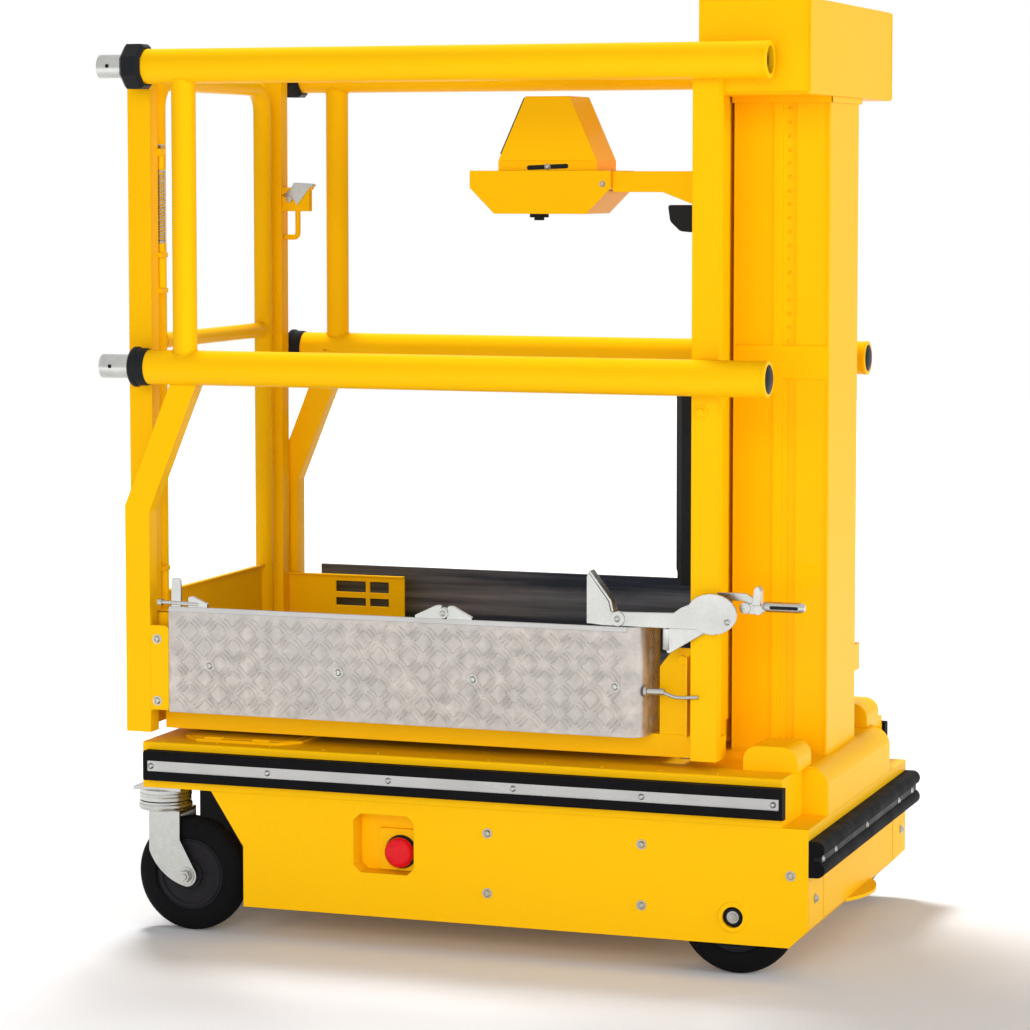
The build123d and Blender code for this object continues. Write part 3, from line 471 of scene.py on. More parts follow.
def pebble_group():
    """Height of the pebbled skin of moulded plastic or rubber."""
    group, start, end = new_group(
        "Pebbled skin",
        [("Vector", "NodeSocketVector", None), ("Scale", "NodeSocketFloat", 900.0)],
        [("Height", "NodeSocketFloat")])
    cells = node(group, "ShaderNodeTexVoronoi", {
        "Vector": start.outputs["Vector"], "Scale": start.outputs["Scale"]},
        feature="SMOOTH_F1")
    cells.inputs["Smoothness"].default_value = 0.6
    group.links.new(cells.outputs["Distance"], end.inputs["Height"])
    return group


# Finishes


def finish_start(slot_name):
    """Clears a slot's material and returns its tree, its shader and the object coordinates."""
    material = bpy.data.materials.get(slot_name) or bpy.data.materials.new(slot_name)
    material.use_nodes = True
    tree = material.node_tree
    tree.nodes.clear()
    out = tree.nodes.new("ShaderNodeOutputMaterial")
    shader = tree.nodes.new("ShaderNodeBsdfPrincipled")
    tree.links.new(shader.outputs["BSDF"], out.inputs["Surface"])
    place = tree.nodes.new("ShaderNodeTexCoord").outputs["Object"]
    return tree, shader, place


def use_group(tree, group, links=()):
    """A group node in a material, with its own values."""
    return node(tree, "ShaderNodeGroup", links, node_tree=group)


def blend_colours(tree, factor, first, second):
    """The colour between two, by a factor. Sockets 6, 7 and output 2 are the colour ones."""
    mix = node(tree, "ShaderNodeMix", {0: factor, 6: first, 7: second}, data_type="RGBA")
    return mix.outputs[2]


def shaded(colour, factor):
    """A colour made darker or lighter by a factor."""
    return tuple(min(1.0, part * factor) for part in colour[:3]) + (1.0,)


def bump(tree, height, distance, normal=None, strength=1.0):
    """A bump node over an optional normal."""
    made = node(tree, "ShaderNodeBump", {"Height": height, "Distance": distance,
                                         "Strength": strength})
    if normal is not None:
        tree.links.new(normal, made.inputs["Normal"])
    return made.outputs["Normal"]


def paint_finish(groups, settings):
    """Powder coat: fine ripple, rounded folds, slightly thin edges and a film of dust."""
    tree, shader, place = finish_start("yellow_paint")
    colour = tuple(settings.paint)
    edge = use_group(tree, groups["edge"], {"Radius": 0.0016})
    peel = use_group(tree, groups["peel"], {"Vector": place, "Scale": 380.0})
    dust = use_group(tree, groups["dust"], {"Vector": place, "Amount": settings.dust})
    clouds = noise(tree, place, 3.5, 3.0)
    tone = blend_colours(tree, clouds, shaded(colour, 0.965), shaded(colour, 1.03))
    chipped = ranged(tree, noise(tree, place, 90.0, 5.0), 0.56, 0.70)
    worn = product(tree, edge.outputs["Edge"], chipped)
    thin = product(tree, worn, settings.wear, clamped=True)
    tone = blend_colours(tree, thin, tone, (0.66, 0.40, 0.04, 1.0))
    tone = blend_colours(tree, dust.outputs["Mask"], tone, (0.62, 0.36, 0.02, 1.0))
    tree.links.new(tone, shader.inputs["Base Color"])
    rough = ranged(tree, dust.outputs["Mask"], 0.0, 1.0, 0.40, 0.66)
    tree.links.new(rough, shader.inputs["Roughness"])
    shader.inputs["Specular IOR Level"].default_value = 0.04
    shader.inputs["Coat Weight"].default_value = 0.05
    shader.inputs["Coat Roughness"].default_value = 0.12
    tree.links.new(bump(tree, peel.outputs["Height"], 0.00010, edge.outputs["Normal"], 0.6),
                   shader.inputs["Normal"])


def soft_black_finish(groups, slot_name, colour, rough, scale, depth, settings):
    """Rubber or moulded plastic: pebbled skin, uneven dullness, pale dust and a painted highlight along
    the edges.
    """
    tree, shader, place = finish_start(slot_name)
    edge = use_group(tree, groups["edge"], {"Radius": 0.0010})
    skin = use_group(tree, groups["pebble"], {"Vector": place, "Scale": scale})
    dust = use_group(tree, groups["dust"], {"Vector": place, "Amount": settings.dust * 0.8})
    # Painted highlight: edges lightened to 1.7 times the colour.
    tone = blend_colours(tree, edge.outputs["Edge"], colour, shaded(colour, 1.7))
    tone = blend_colours(tree, dust.outputs["Mask"], tone, (0.038, 0.035, 0.032, 1.0))
    tree.links.new(tone, shader.inputs["Base Color"])
    shader.inputs["Specular IOR Level"].default_value = 0.07
    scuffs = ranged(tree, noise(tree, place, 22.0, 5.0), 0.3, 0.7, rough - 0.07, rough + 0.09)
    tree.links.new(scuffs, shader.inputs["Roughness"])
    tree.links.new(bump(tree, skin.outputs["Height"], depth, edge.outputs["Normal"], 0.8),
                   shader.inputs["Normal"])


def bright_metal_finish(groups, slot_name, colour, rough, stretch, settings, grain=0.00003):
    """Drawn or plated metal: streaks along its length, faint stains and rounded edges."""
    tree, shader, place = finish_start(slot_name)
    edge = use_group(tree, groups["edge"], {"Radius": 0.0008})
    streaks = use_group(tree, groups["grain_and_reflection_bands"], {"Vector": place, "Stretch": stretch})
    dust = use_group(tree, groups["dust"], {"Vector": place, "Amount": settings.dust})
    clouds = noise(tree, place, 14.0, 4.0)
    tone = blend_colours(tree, streaks.outputs["Streaks"], shaded(colour, 0.80),
                         shaded(colour, 1.16))
    tone = blend_colours(tree, dust.outputs["Mask"], tone, shaded(colour, 0.55))
    tree.links.new(tone, shader.inputs["Base Color"])
    shader.inputs["Metallic"].default_value = 1.0
    both = node(tree, "ShaderNodeMath", {0: streaks.outputs["Streaks"], 1: clouds},
                operation="ADD")
    stains = ranged(tree, both.outputs[0], 0.7, 1.3, rough - 0.08, rough + 0.10)
    tree.links.new(stains, shader.inputs["Roughness"])
    tree.links.new(bump(tree, streaks.outputs["Streaks"], grain, edge.outputs["Normal"], 0.7),
                   shader.inputs["Normal"])


def tread_finish(groups, settings):
    """Rolled tread plate: warm dull aluminium with mottled oxide and rubbed high spots, the bars' edges
    lightened, partly as rubbed metal and partly as painted highlight, and a painted reflection of dark
    and pale bands on the faces that look inward.
    """
    tree, shader, place = finish_start("tread_aluminium")
    colour = tuple(settings.tread)
    edge = use_group(tree, groups["edge"], {"Radius": 0.0008})
    dust = use_group(tree, groups["dust"], {"Vector": place, "Amount": settings.dust * 1.4})
    mottle = noise(tree, place, 38.0, 6.0, 0.66)
    patches = noise(tree, place, 6.0, 2.0)
    rubbed = ranged(tree, mottle, 0.34, 0.66)
    tone = blend_colours(tree, rubbed, shaded(colour, 0.60), shaded(colour, 1.55))
    # The edges of the bars and boards lightened to near white: partly rubbed metal, partly painted
    # highlight.
    tone = blend_colours(tree, edge.outputs["Edge"], tone, (0.86, 0.85, 0.83, 1.0))
    tone = blend_colours(tree, patches, tone, (0.47, 0.45, 0.43, 1.0))
    tone = blend_colours(tree, dust.outputs["Mask"], tone, (0.33, 0.28, 0.23, 1.0))
    # Painted reflection: faces that look in towards the deck take a dark blue sheen with pale level
    # bands, in place of the tread colour.
    facing = node(tree, "ShaderNodeSeparateXYZ", {
        0: tree.nodes.new("ShaderNodeNewGeometry").outputs["Normal"]})
    side = node(tree, "ShaderNodeSeparateXYZ", {0: place})
    inward = product(tree, facing.outputs["Y"], side.outputs["Y"])
    inner = ranged(tree, inward, -0.04, -0.16)
    # The stretched streak noise here gives the level bands of the painted reflection, not brushed
    # grain.
    streaks = use_group(tree, groups["grain_and_reflection_bands"], {"Vector": place, "Stretch": (0.9, 1.0, 26.0)})
    bright = ranged(tree, streaks.outputs["Streaks"], 0.44, 0.80)
    sheet = blend_colours(tree, bright, (0.034, 0.044, 0.066, 1.0), (0.32, 0.34, 0.38, 1.0))
    tone = blend_colours(tree, inner, tone, sheet)
    tree.links.new(tone, shader.inputs["Base Color"])
    shader.inputs["Metallic"].default_value = 0.72
    tree.links.new(ranged(tree, mottle, 0.3, 0.7, 0.30, 0.48), shader.inputs["Roughness"])
    tree.links.new(bump(tree, mottle, 0.00025, edge.outputs["Normal"], 0.5),
                   shader.inputs["Normal"])


def hub_finish(groups, settings):
    """Cast metal under dark paint: coarse skin and soft edges, with a painted highlight along the
    edges.
    """
    tree, shader, place = finish_start("hub_grey")
    colour = tuple(settings.hub)
    edge = use_group(tree, groups["edge"], {"Radius": 0.0015})
    skin = noise(tree, place, 260.0, 3.0)
    dust = use_group(tree, groups["dust"], {"Vector": place, "Amount": settings.dust * 1.5})
    # Painted highlight: edges lightened to 1.8 times the colour.
    tone = blend_colours(tree, edge.outputs["Edge"], colour, shaded(colour, 1.8))
    tone = blend_colours(tree, dust.outputs["Mask"], tone, (0.050, 0.046, 0.041, 1.0))
    tree.links.new(tone, shader.inputs["Base Color"])
    shader.inputs["Roughness"].default_value = 0.50
    shader.inputs["Metallic"].default_value = 0.12
    shader.inputs["Specular IOR Level"].default_value = 0.12
    tree.links.new(bump(tree, skin, 0.0004, edge.outputs["Normal"], 0.7),
                   shader.inputs["Normal"])


def signal_finish(settings):
    """Glossy red plastic with faint rub marks."""
    tree, shader, place = finish_start("red_plastic")
    colour = tuple(settings.signal)
    rubs = noise(tree, place, 120.0, 4.0)
    tone = blend_colours(tree, rubs, shaded(colour, 0.85), shaded(colour, 1.12))
    tree.links.new(tone, shader.inputs["Base Color"])
    tree.links.new(ranged(tree, rubs, 0.3, 0.7, 0.18, 0.36), shader.inputs["Roughness"])
    shader.inputs["Coat Weight"].default_value = 0.06
    shader.inputs["Specular IOR Level"].default_value = 0.25
    tree.links.new(bump(tree, rubs, 0.00005), shader.inputs["Normal"])


class LIFT_OT_finishes(bpy.types.Operator):
    """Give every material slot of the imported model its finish"""
    bl_idname = "lift.finishes"
    bl_label = "Finishes"

    def execute(self, context):
        settings = context.scene.lift_finish
        groups = {"peel": orange_peel_group(), "edge": rounded_edge_group(),
                  "dust": dust_group(), "grain_and_reflection_bands": grain_and_reflection_bands_group(), "pebble": pebble_group()}
        paint_finish(groups, settings)
        soft_black_finish(groups, "black_rubber", tuple(settings.rubber), 0.66, 1100.0, 0.00012,
                          settings)
        soft_black_finish(groups, "black_plastic", tuple(settings.plastic), 0.42, 1500.0, 0.00006,
                          settings)
        soft_black_finish(groups, "tyre_black", tuple(settings.tyre), 0.74, 700.0, 0.00020,
                          settings)
        soft_black_finish(groups, "battery_case", tuple(settings.battery), 0.55, 900.0, 0.0001,
                          settings)
        bright_metal_finish(groups, "bare_aluminium", tuple(settings.aluminium), 0.30,
                            (5.0, 600.0, 600.0), settings)
        bright_metal_finish(groups, "zinc_steel", tuple(settings.zinc), 0.27,
                            (60.0, 60.0, 60.0), settings)
        tread_finish(groups, settings)
        hub_finish(groups, settings)
        signal_finish(settings)
        return {"FINISHED"}


# Fasteners and other repeated shapes, by Geometry Nodes


def geometry_tree(name, inputs):
    """A Geometry Nodes tree with a geometry input and output and named inputs."""
    tree = bpy.data.node_groups.new(name, "GeometryNodeTree")
    tree.interface.new_socket("Geometry", in_out="INPUT", socket_type="NodeSocketGeometry")
    for label, kind, default in inputs:
        socket = tree.interface.new_socket(label, in_out="INPUT", socket_type=kind)
        if default is not None:
            socket.default_value = default
    tree.interface.new_socket("Geometry", in_out="OUTPUT", socket_type="NodeSocketGeometry")
    start = tree.nodes.new("NodeGroupInput")
    end = tree.nodes.new("NodeGroupOutput")
    return tree, start, end


def end_tree(tree, start, end, spread):
    """Makes the instances real, gives them the finish and closes the tree."""
    real = node(tree, "GeometryNodeRealizeInstances", {"Geometry": spread.outputs[0]})
    painted = node(tree, "GeometryNodeSetMaterial", {
        "Geometry": real.outputs[0], "Material": start.outputs["Finish"]})
    tree.links.new(painted.outputs[0], end.inputs[0])
    return tree


def turned_by_aim(tree, about):
    """The rotation that turns a shape's Z to the point's aim, after a turn about that Z."""
    aim = node(tree, "GeometryNodeInputNamedAttribute", {"Name": "aim"},
               data_type="FLOAT_VECTOR")
    turn = node(tree, "FunctionNodeAlignRotationToVector", {"Vector": aim.outputs[0]}, axis="Z")
    swing = node(tree, "FunctionNodeAxisAngleToRotation", {"Angle": about})
    both = node(tree, "FunctionNodeRotateRotation", {
        "Rotation": turn.outputs[0], "Rotate By": swing.outputs[0]}, rotation_space="LOCAL")
    return both.outputs[0]


def grown(name, source, tree, values, body, slot_name):
    """Runs a tree on a mesh and keeps the result as a plain piece of one body."""
    maker = bpy.data.objects.new(name + "_maker", source)
    bpy.context.scene.collection.objects.link(maker)
    step = maker.modifiers.new("Maker", "NODES")
    step.node_group = tree
    for item in tree.interface.items_tree:
        if item.item_type == "SOCKET" and item.in_out == "INPUT" and item.name in values:
            step[item.identifier] = values[item.name]
    bpy.context.view_layer.update()
    evaluated = maker.evaluated_get(bpy.context.evaluated_depsgraph_get())
    mesh = bpy.data.meshes.new_from_object(evaluated)
    maker.modifiers.remove(step)
    bpy.data.objects.remove(maker)
    if not mesh.polygons:
        raise RuntimeError(f"{name} came out empty")
    mesh.name = name
    return placed(name, mesh, body, slot_name)


def heads_tree():
    """A washer and a head with a driven recess on every point, turned to the point's aim."""
    tree, start, end = geometry_tree("Fastener heads", [
        ("Head radius", "NodeSocketFloat", 0.006), ("Head height", "NodeSocketFloat", 0.004),
        ("Head sides", "NodeSocketInt", 6), ("Taper", "NodeSocketFloat", 0.85),
        ("Washer radius", "NodeSocketFloat", 0.009), ("Washer height", "NodeSocketFloat", 0.001),
        ("Recess radius", "NodeSocketFloat", 0.003), ("Seed", "NodeSocketInt", 7),
        ("Finish", "NodeSocketMaterial", None)])
    washer = node(tree, "GeometryNodeMeshCylinder", {
        "Vertices": 20, "Radius": start.outputs["Washer radius"],
        "Depth": start.outputs["Washer height"]})
    half = product(tree, start.outputs["Washer height"], 0.5)
    washer_place = node(tree, "ShaderNodeCombineXYZ", {"Z": half})
    washer_up = node(tree, "GeometryNodeTransform", {
        "Geometry": washer.outputs["Mesh"], "Translation": washer_place.outputs[0]})
    top = product(tree, start.outputs["Head radius"], start.outputs["Taper"])
    head = node(tree, "GeometryNodeMeshCone", {
        "Vertices": start.outputs["Head sides"], "Radius Bottom": start.outputs["Head radius"],
        "Radius Top": top, "Depth": start.outputs["Head height"]})
    recess = node(tree, "GeometryNodeMeshCylinder", {
        "Vertices": 6, "Radius": start.outputs["Recess radius"],
        "Depth": start.outputs["Head height"]})
    shift = product(tree, start.outputs["Head height"], 0.95)
    recess_place = node(tree, "ShaderNodeCombineXYZ", {"Z": shift})
    recess_up = node(tree, "GeometryNodeTransform", {
        "Geometry": recess.outputs["Mesh"], "Translation": recess_place.outputs[0]})
    cut = node(tree, "GeometryNodeMeshBoolean", operation="DIFFERENCE")
    tree.links.new(head.outputs["Mesh"], cut.inputs[0])
    tree.links.new(recess_up.outputs[0], cut.inputs[1])
    head_place = node(tree, "ShaderNodeCombineXYZ", {"Z": start.outputs["Washer height"]})
    head_up = node(tree, "GeometryNodeTransform", {
        "Geometry": cut.outputs[0], "Translation": head_place.outputs[0]})
    whole = node(tree, "GeometryNodeJoinGeometry")
    tree.links.new(head_up.outputs[0], whole.inputs[0])
    tree.links.new(washer_up.outputs[0], whole.inputs[0])
    spin = node(tree, "FunctionNodeRandomValue", {
        3: 6.283, "Seed": start.outputs["Seed"]}, data_type="FLOAT")
    spread = node(tree, "GeometryNodeInstanceOnPoints", {
        "Points": start.outputs["Geometry"], "Instance": whole.outputs[0],
        "Rotation": turned_by_aim(tree, spin.outputs[1])})
    return end_tree(tree, start, end, spread)


def points_mesh(spots):
    """A mesh of loose points, each with the direction that its head looks in."""
    mesh = bpy.data.meshes.new("points")
    mesh.from_pydata([Vector(place) * MM for place, aim in spots], [], [])
    attribute = mesh.attributes.new("aim", "FLOAT_VECTOR", "POINT")
    for index, (place, aim) in enumerate(spots):
        attribute.data[index].vector = Vector(aim).normalized()
    return mesh


HEADS = (
    # kind, its radius in the settings, sides, then shares of that radius:
    # head height, top radius, washer radius, washer height, recess radius
    ("bolt", "bolt_radius", 6, 0.67, 0.90, 1.45, 0.20, 0.05),
    ("button", "button_radius", 20, 0.55, 0.62, 1.32, 0.18, 0.46),
    ("screw", "screw_radius", 18, 0.52, 0.60, 1.12, 0.10, 0.44),
    ("rivet", "rivet_radius", 14, 0.44, 0.55, 1.12, 0.09, 0.34),
)


def fasten(tree, name, body, kind, spots, slot_name):
    """Puts one kind of head on a body at each place, looking along its aim."""
    settings = bpy.context.scene.lift_fastener
    for label, size, sides, height, taper, washer, washer_height, recess in HEADS:
        if label != kind:
            continue
        radius = getattr(settings, size)
        values = {
            "Head radius": radius, "Head height": radius * height, "Head sides": sides,
            "Taper": taper, "Washer radius": radius * washer,
            "Washer height": radius * washer_height, "Recess radius": radius * recess,
            "Seed": settings.seed, "Finish": bpy.data.materials[slot_name]}
        return grown(name, points_mesh(spots), tree, values, body, slot_name)
    raise RuntimeError(f"no head called {kind}")


NEAR, FAR, FRONT, BACK, UP, DOWN = (
    (0, -1, 0), (0, 1, 0), (-1, 0, 0), (1, 0, 0), (0, 0, 1), (0, 0, -1))


def mirrored(places):
    """The same (place, aim) pairs on the near side and on the far side."""
    flipped = [((x, -y, z), (a, -b, c)) for (x, y, z), (a, b, c) in places]
    return list(places) + flipped


class LIFT_OT_fasteners(bpy.types.Operator):
    """Add the bolts, screws and rivets of every body, and black heads that paint the shade inside the
    holes of the tube ends
    """
    bl_idname = "lift.fasteners"
    bl_label = "Fasteners"

    def execute(self, context):
        tree = heads_tree()
        sets = (
            # name, body, head, finish, places and aims
            ("plate_bolts", "base", "button", "zinc_steel", mirrored([
                ((x, -355.2, z), NEAR) for x, z in (
                    (63.8, 211.8), (63.8, 109.8), (334.9, 210.7), (334.9, 108.7),
                    (589.4, 175.2))])),
            ("strip_screws", "base", "screw", "zinc_steel", mirrored([
                ((x, -374.2, 294), NEAR) for x in (-549, -330, -108, 116, 340, 564)])),
            ("tail_strip_screws", "base", "screw", "zinc_steel", [
                ((639.4, y, 204), BACK) for y in (-340, -256, -32, 210, 314)]),
            ("tail_bolts", "base", "button", "zinc_steel", [
                ((619.2, y, 131), BACK) for y in (-308, 318)]),
            ("toe_board_screws", "cage", "button", "zinc_steel", mirrored([
                ((x, -346.2, 470), NEAR) for x in (-449, -209, 35, 285)])),
            ("corner_plate_bolts", "cage", "button", "zinc_steel", mirrored([
                ((-549, -345.4, z), NEAR) for z in (404, 512)])),
            ("post_bolts", "cage", "bolt", "yellow_paint", mirrored([
                ((423.4, -318.2, 926.6), NEAR)])),
            ("lever_screws", "cage", "screw", "zinc_steel", [
                ((476, -341.2, 585), NEAR), ((288, -343.7, 583), NEAR),
                ((-18, -350.2, 580), NEAR)]),
            ("control_screws", "cage", "screw", "zinc_steel", [
                ((68, -56.0, 1329.6), NEAR)] + mirrored([((172, -67.2, 1300), NEAR)])),
            ("tray_rivets", "base", "rivet", "yellow_paint", mirrored([
                ((x, -340.0, 333.1), UP) for x in range(-540, 560, 100)])),
            ("mast_rivets", "base", "rivet", "yellow_paint", mirrored([
                ((514, -97.0, z), NEAR) for z in range(1036, 1430, 23)])),
            # Painted shade: black rivet heads stand for the dark inside the holes at the tube ends.
            ("tube_hole_painted_shade", "extension", "rivet", "black_plastic", mirrored([
                ((-625, -366.9, z), NEAR) for z in (986, 1502)])),
            ("post_foot_bolts", "extension", "button", "black_plastic", [
                ((-596, y, 1519.2), UP) for y in (-287, 287)]),
        )
        for name, body, head, finish, spots in sets:
            fasten(tree, name, body, head, spots, finish)
        return {"FINISHED"}


def spring_tree():
    """A coil that stands on the source's first point, with its own wire."""
    tree, start, end = geometry_tree("Coil spring", [
        ("Coil radius", "NodeSocketFloat", 0.008), ("Wire radius", "NodeSocketFloat", 0.0013),
        ("Height", "NodeSocketFloat", 0.1), ("Turns", "NodeSocketFloat", 20.0),
        ("Finish", "NodeSocketMaterial", None)])
    line = node(tree, "GeometryNodeCurveSpiral", {
        "Resolution": 14, "Rotations": start.outputs["Turns"],
        "Start Radius": start.outputs["Coil radius"], "End Radius": start.outputs["Coil radius"],
        "Height": start.outputs["Height"]})
    wire = node(tree, "GeometryNodeCurvePrimitiveCircle", {
        "Resolution": 7, "Radius": start.outputs["Wire radius"]})
    body = node(tree, "GeometryNodeCurveToMesh", {
        "Curve": line.outputs[0], "Profile Curve": wire.outputs["Curve"], "Fill Caps": True})
    spread = node(tree, "GeometryNodeInstanceOnPoints", {
        "Points": start.outputs["Geometry"], "Instance": body.outputs[0]})
    return end_tree(tree, start, end, spread)


def spring_seat(x, y, z):
    """The one point that a spring stands on."""
    mesh = bpy.data.meshes.new("seat")
    mesh.from_pydata([Vector((x, y, z)) * MM], [], [])
    return mesh


def lug_tree():
    """Low long bars on every point, laid flat on its face and swung by the point's angle."""
    tree, start, end = geometry_tree("Tread lugs", [
        ("Length", "NodeSocketFloat", 0.024), ("Width", "NodeSocketFloat", 0.005),
        ("Height", "NodeSocketFloat", 0.0016), ("Finish", "NodeSocketMaterial", None)])
    lug = node(tree, "GeometryNodeMeshCone", {
        "Vertices": 8, "Radius Bottom": 0.5, "Radius Top": 0.30, "Depth": 1.0})
    size = node(tree, "ShaderNodeCombineXYZ", {
        "X": start.outputs["Length"], "Y": start.outputs["Width"], "Z": start.outputs["Height"]})
    shaped = node(tree, "GeometryNodeTransform", {
        "Geometry": lug.outputs["Mesh"], "Scale": size.outputs[0]})
    swing = node(tree, "GeometryNodeInputNamedAttribute", {"Name": "swing"}, data_type="FLOAT")
    spread = node(tree, "GeometryNodeInstanceOnPoints", {
        "Points": start.outputs["Geometry"], "Instance": shaped.outputs[0],
        "Rotation": turned_by_aim(tree, swing.outputs[0])})
    return end_tree(tree, start, end, spread)


def tread_points(fields, pitch):
    """Points of the bars over flat fields: three side by side in each cell, turned in turn."""
    places, aims, swings = [], [], []
    for axis, along, across, up, aim in fields:
        count_a = int((across[1] - across[0]) / pitch)
        count_b = int((up[1] - up[0]) / pitch)
        start_a = (across[0] + across[1] - (count_a - 1) * pitch) / 2
        start_b = (up[0] + up[1] - (count_b - 1) * pitch) / 2
        hand = 1 if aim in (NEAR, UP) else -1
        for i in range(count_a):
            for j in range(count_b):
                swing = radians(45 if (i + j) % 2 else -45)
                for bar in (-1, 0, 1):
                    step = bar * pitch * 0.25
                    a = start_a + i * pitch + step * sin(swing)
                    b = start_b + j * pitch - step * hand * cos(swing)
                    places.append(spot(axis, a, b, along) * MM)
                    aims.append(Vector(aim))
                    swings.append(swing)
    mesh = bpy.data.meshes.new("tread")
    mesh.from_pydata(places, [], [])
    mesh.attributes.new("aim", "FLOAT_VECTOR", "POINT")
    mesh.attributes.new("swing", "FLOAT", "POINT")
    mesh.attributes["aim"].data.foreach_set("vector", [part for aim in aims for part in aim])
    mesh.attributes["swing"].data.foreach_set("value", swings)
    return mesh


class LIFT_OT_tread(bpy.types.Operator):
    """Add the raised lugs of the tread sheet on the toe boards and both decks"""
    bl_idname = "lift.tread"
    bl_label = "Tread lugs"

    def execute(self, context):
        settings = context.scene.lift_fitting
        pitch = settings.lug_pitch / MM
        tree = lug_tree()
        values = {"Length": settings.lug_pitch * 0.98, "Width": settings.lug_pitch * 0.165,
                  "Height": settings.lug_height, "Finish": bpy.data.materials["tread_aluminium"]}
        boards = []
        for side, aim in ((-1, NEAR), (1, FAR)):
            boards.append(("Y", side * 345.8, (-524, 306), (388, 560), aim))
            edge = sorted((side * 248.0, side * 318.0))
            boards.append(("X", 332.8, edge, (388, 568), BACK))
        grown("toe_board_lugs", tread_points(boards, pitch), tree, values, "cage",
              "tread_aluminium")
        grown("deck_lugs", tread_points([("Z", 389.8, (-520, 326), (-338, 338), UP)], pitch),
              tree, values, "cage", "tread_aluminium")
        grown("extension_deck_lugs",
              tread_points([("Z", 399.8, (-572, -101), (-290, 290), UP)], pitch),
              tree, values, "extension", "tread_aluminium")
        return {"FINISHED"}


def weld_tree():
    """Beads of weld laid along the edges of the source."""
    tree, start, end = geometry_tree("Weld beads", [
        ("Bead radius", "NodeSocketFloat", 0.0024), ("Pitch", "NodeSocketFloat", 0.0034),
        ("Finish", "NodeSocketMaterial", None)])
    line = node(tree, "GeometryNodeMeshToCurve", {"Mesh": start.outputs["Geometry"]})
    even = node(tree, "GeometryNodeResampleCurve", {
        "Curve": line.outputs[0], "Length": start.outputs["Pitch"]}, mode="LENGTH")
    drop = node(tree, "GeometryNodeMeshUVSphere", {
        "Segments": 8, "Rings": 5, "Radius": start.outputs["Bead radius"]})
    tangent = node(tree, "GeometryNodeInputTangent")
    turn = node(tree, "FunctionNodeAlignRotationToVector", {"Vector": tangent.outputs[0]},
                axis="X")
    spread = node(tree, "GeometryNodeInstanceOnPoints", {
        "Points": even.outputs[0], "Instance": drop.outputs["Mesh"],
        "Rotation": turn.outputs[0]})
    return end_tree(tree, start, end, spread)


def path_mesh(paths):
    """Lines of points in millimetres as a mesh of edges."""
    points, edges = [], []
    for path in paths:
        first = len(points)
        points += [Vector(place) * MM for place in path]
        edges += [(first + i, first + i + 1) for i in range(len(path) - 1)]
    mesh = bpy.data.meshes.new("paths")
    mesh.from_pydata(points, edges, [])
    return mesh


def saddle(x, y, z, rail, tube, rise):
    """The seam of an upright tube on a level rail that runs along X."""
    seam = []
    for step in range(25):
        angle = radians(15 * step)
        across = tube * sin(angle)
        seam.append((x + tube * cos(angle), y + across,
                     z + rise * (rail * rail - across * across) ** 0.5))
    return seam


def frame_path(x, y, z):
    """A level rectangle between two places on X and on Y."""
    return [(x[0], y[0], z), (x[1], y[0], z), (x[1], y[1], z), (x[0], y[1], z), (x[0], y[0], z)]


class LIFT_OT_welds(bpy.types.Operator):
    """Add the weld beads of the cage, the mast's foot and the end frame"""
    bl_idname = "lift.welds"
    bl_label = "Welds"

    def execute(self, context):
        settings = context.scene.lift_fitting
        tree = weld_tree()
        values = {"Bead radius": settings.weld_radius, "Pitch": settings.weld_radius * 1.5,
                  "Finish": bpy.data.materials["yellow_paint"]}
        cage = []
        for side in (-1, 1):
            y = side * RAIL_Y
            for z, rise in ((RAIL_TOP_Z, -1), (RAIL_MID_Z, 1)):
                cage.append(saddle(-491.0, y, z, 30.0, 21.0, rise))
            for z in (1448.5, 1600.5):
                cage.append([(414.0, side * 290.2, z), (592.0, side * 290.2, z)])
            cage.append([(596.5, side * 289.5, 1452.0), (596.5, side * 289.5, 1598.0)])
            post = (side * 290.0, side * 318.0)
            for z in (1470.0, 957.0, 1013.0):
                cage.append([(406.5, post[1], z), (406.5, post[0], z)])
            cage.append([(-561.5, y - side * 30, 387.0), (-561.5, y - side * 1, 387.0)])
        grown("cage_welds", path_mesh(cage), tree, values, "cage", "yellow_paint")
        base = [frame_path((417.5, 583.5), (-99.5, 99.5), 333.8)]
        for side in (-1, 1):
            base.append([(571.0, side * 226.2, 334.0), (600.0, side * 226.2, 331.5)])
        grown("base_welds", path_mesh(base), tree, values, "base", "yellow_paint")
        ends = []
        for side in (-1, 1):
            ends.append(frame_path((-618.2, -574.8), sorted((side * 272.0, side * 302.0)), 404.5))
        grown("end_frame_welds", path_mesh(ends), tree, values, "extension", "yellow_paint")
        rings = []
        for side in (-1, 1):
            rings.append([(GATE_X + 14.2 * cos(radians(20 * s)), side * 217.0,
                           1024.0 + 14.2 * sin(radians(20 * s))) for s in range(19)])
        grown("gate_welds", path_mesh(rings), tree, values, "gate", "yellow_paint")
        return {"FINISHED"}


# Wheels and casters


def tyre(name, body, replaced, x, y, width, shoulder):
    """A solid tyre with round shoulders, in place of the plain one."""
    half = width / 2 - 0.6
    wall = WHEEL_R - shoulder
    outline = [(62.0, half - 4), (66.0, half), (wall, half)]
    for step in range(1, 7):
        angle = radians(15 * step)
        outline.append((wall + shoulder * sin(angle), 5 + (half - 5) * cos(angle)))
    outline += [(radius, -height) for radius, height in reversed(outline)]
    bm = bmesh.new()
    lathe(bm, outline, (x, y, WHEEL_R), "Y", 72, closed=True)
    settle(name, bm, body, "tyre_black", replaced=replaced)


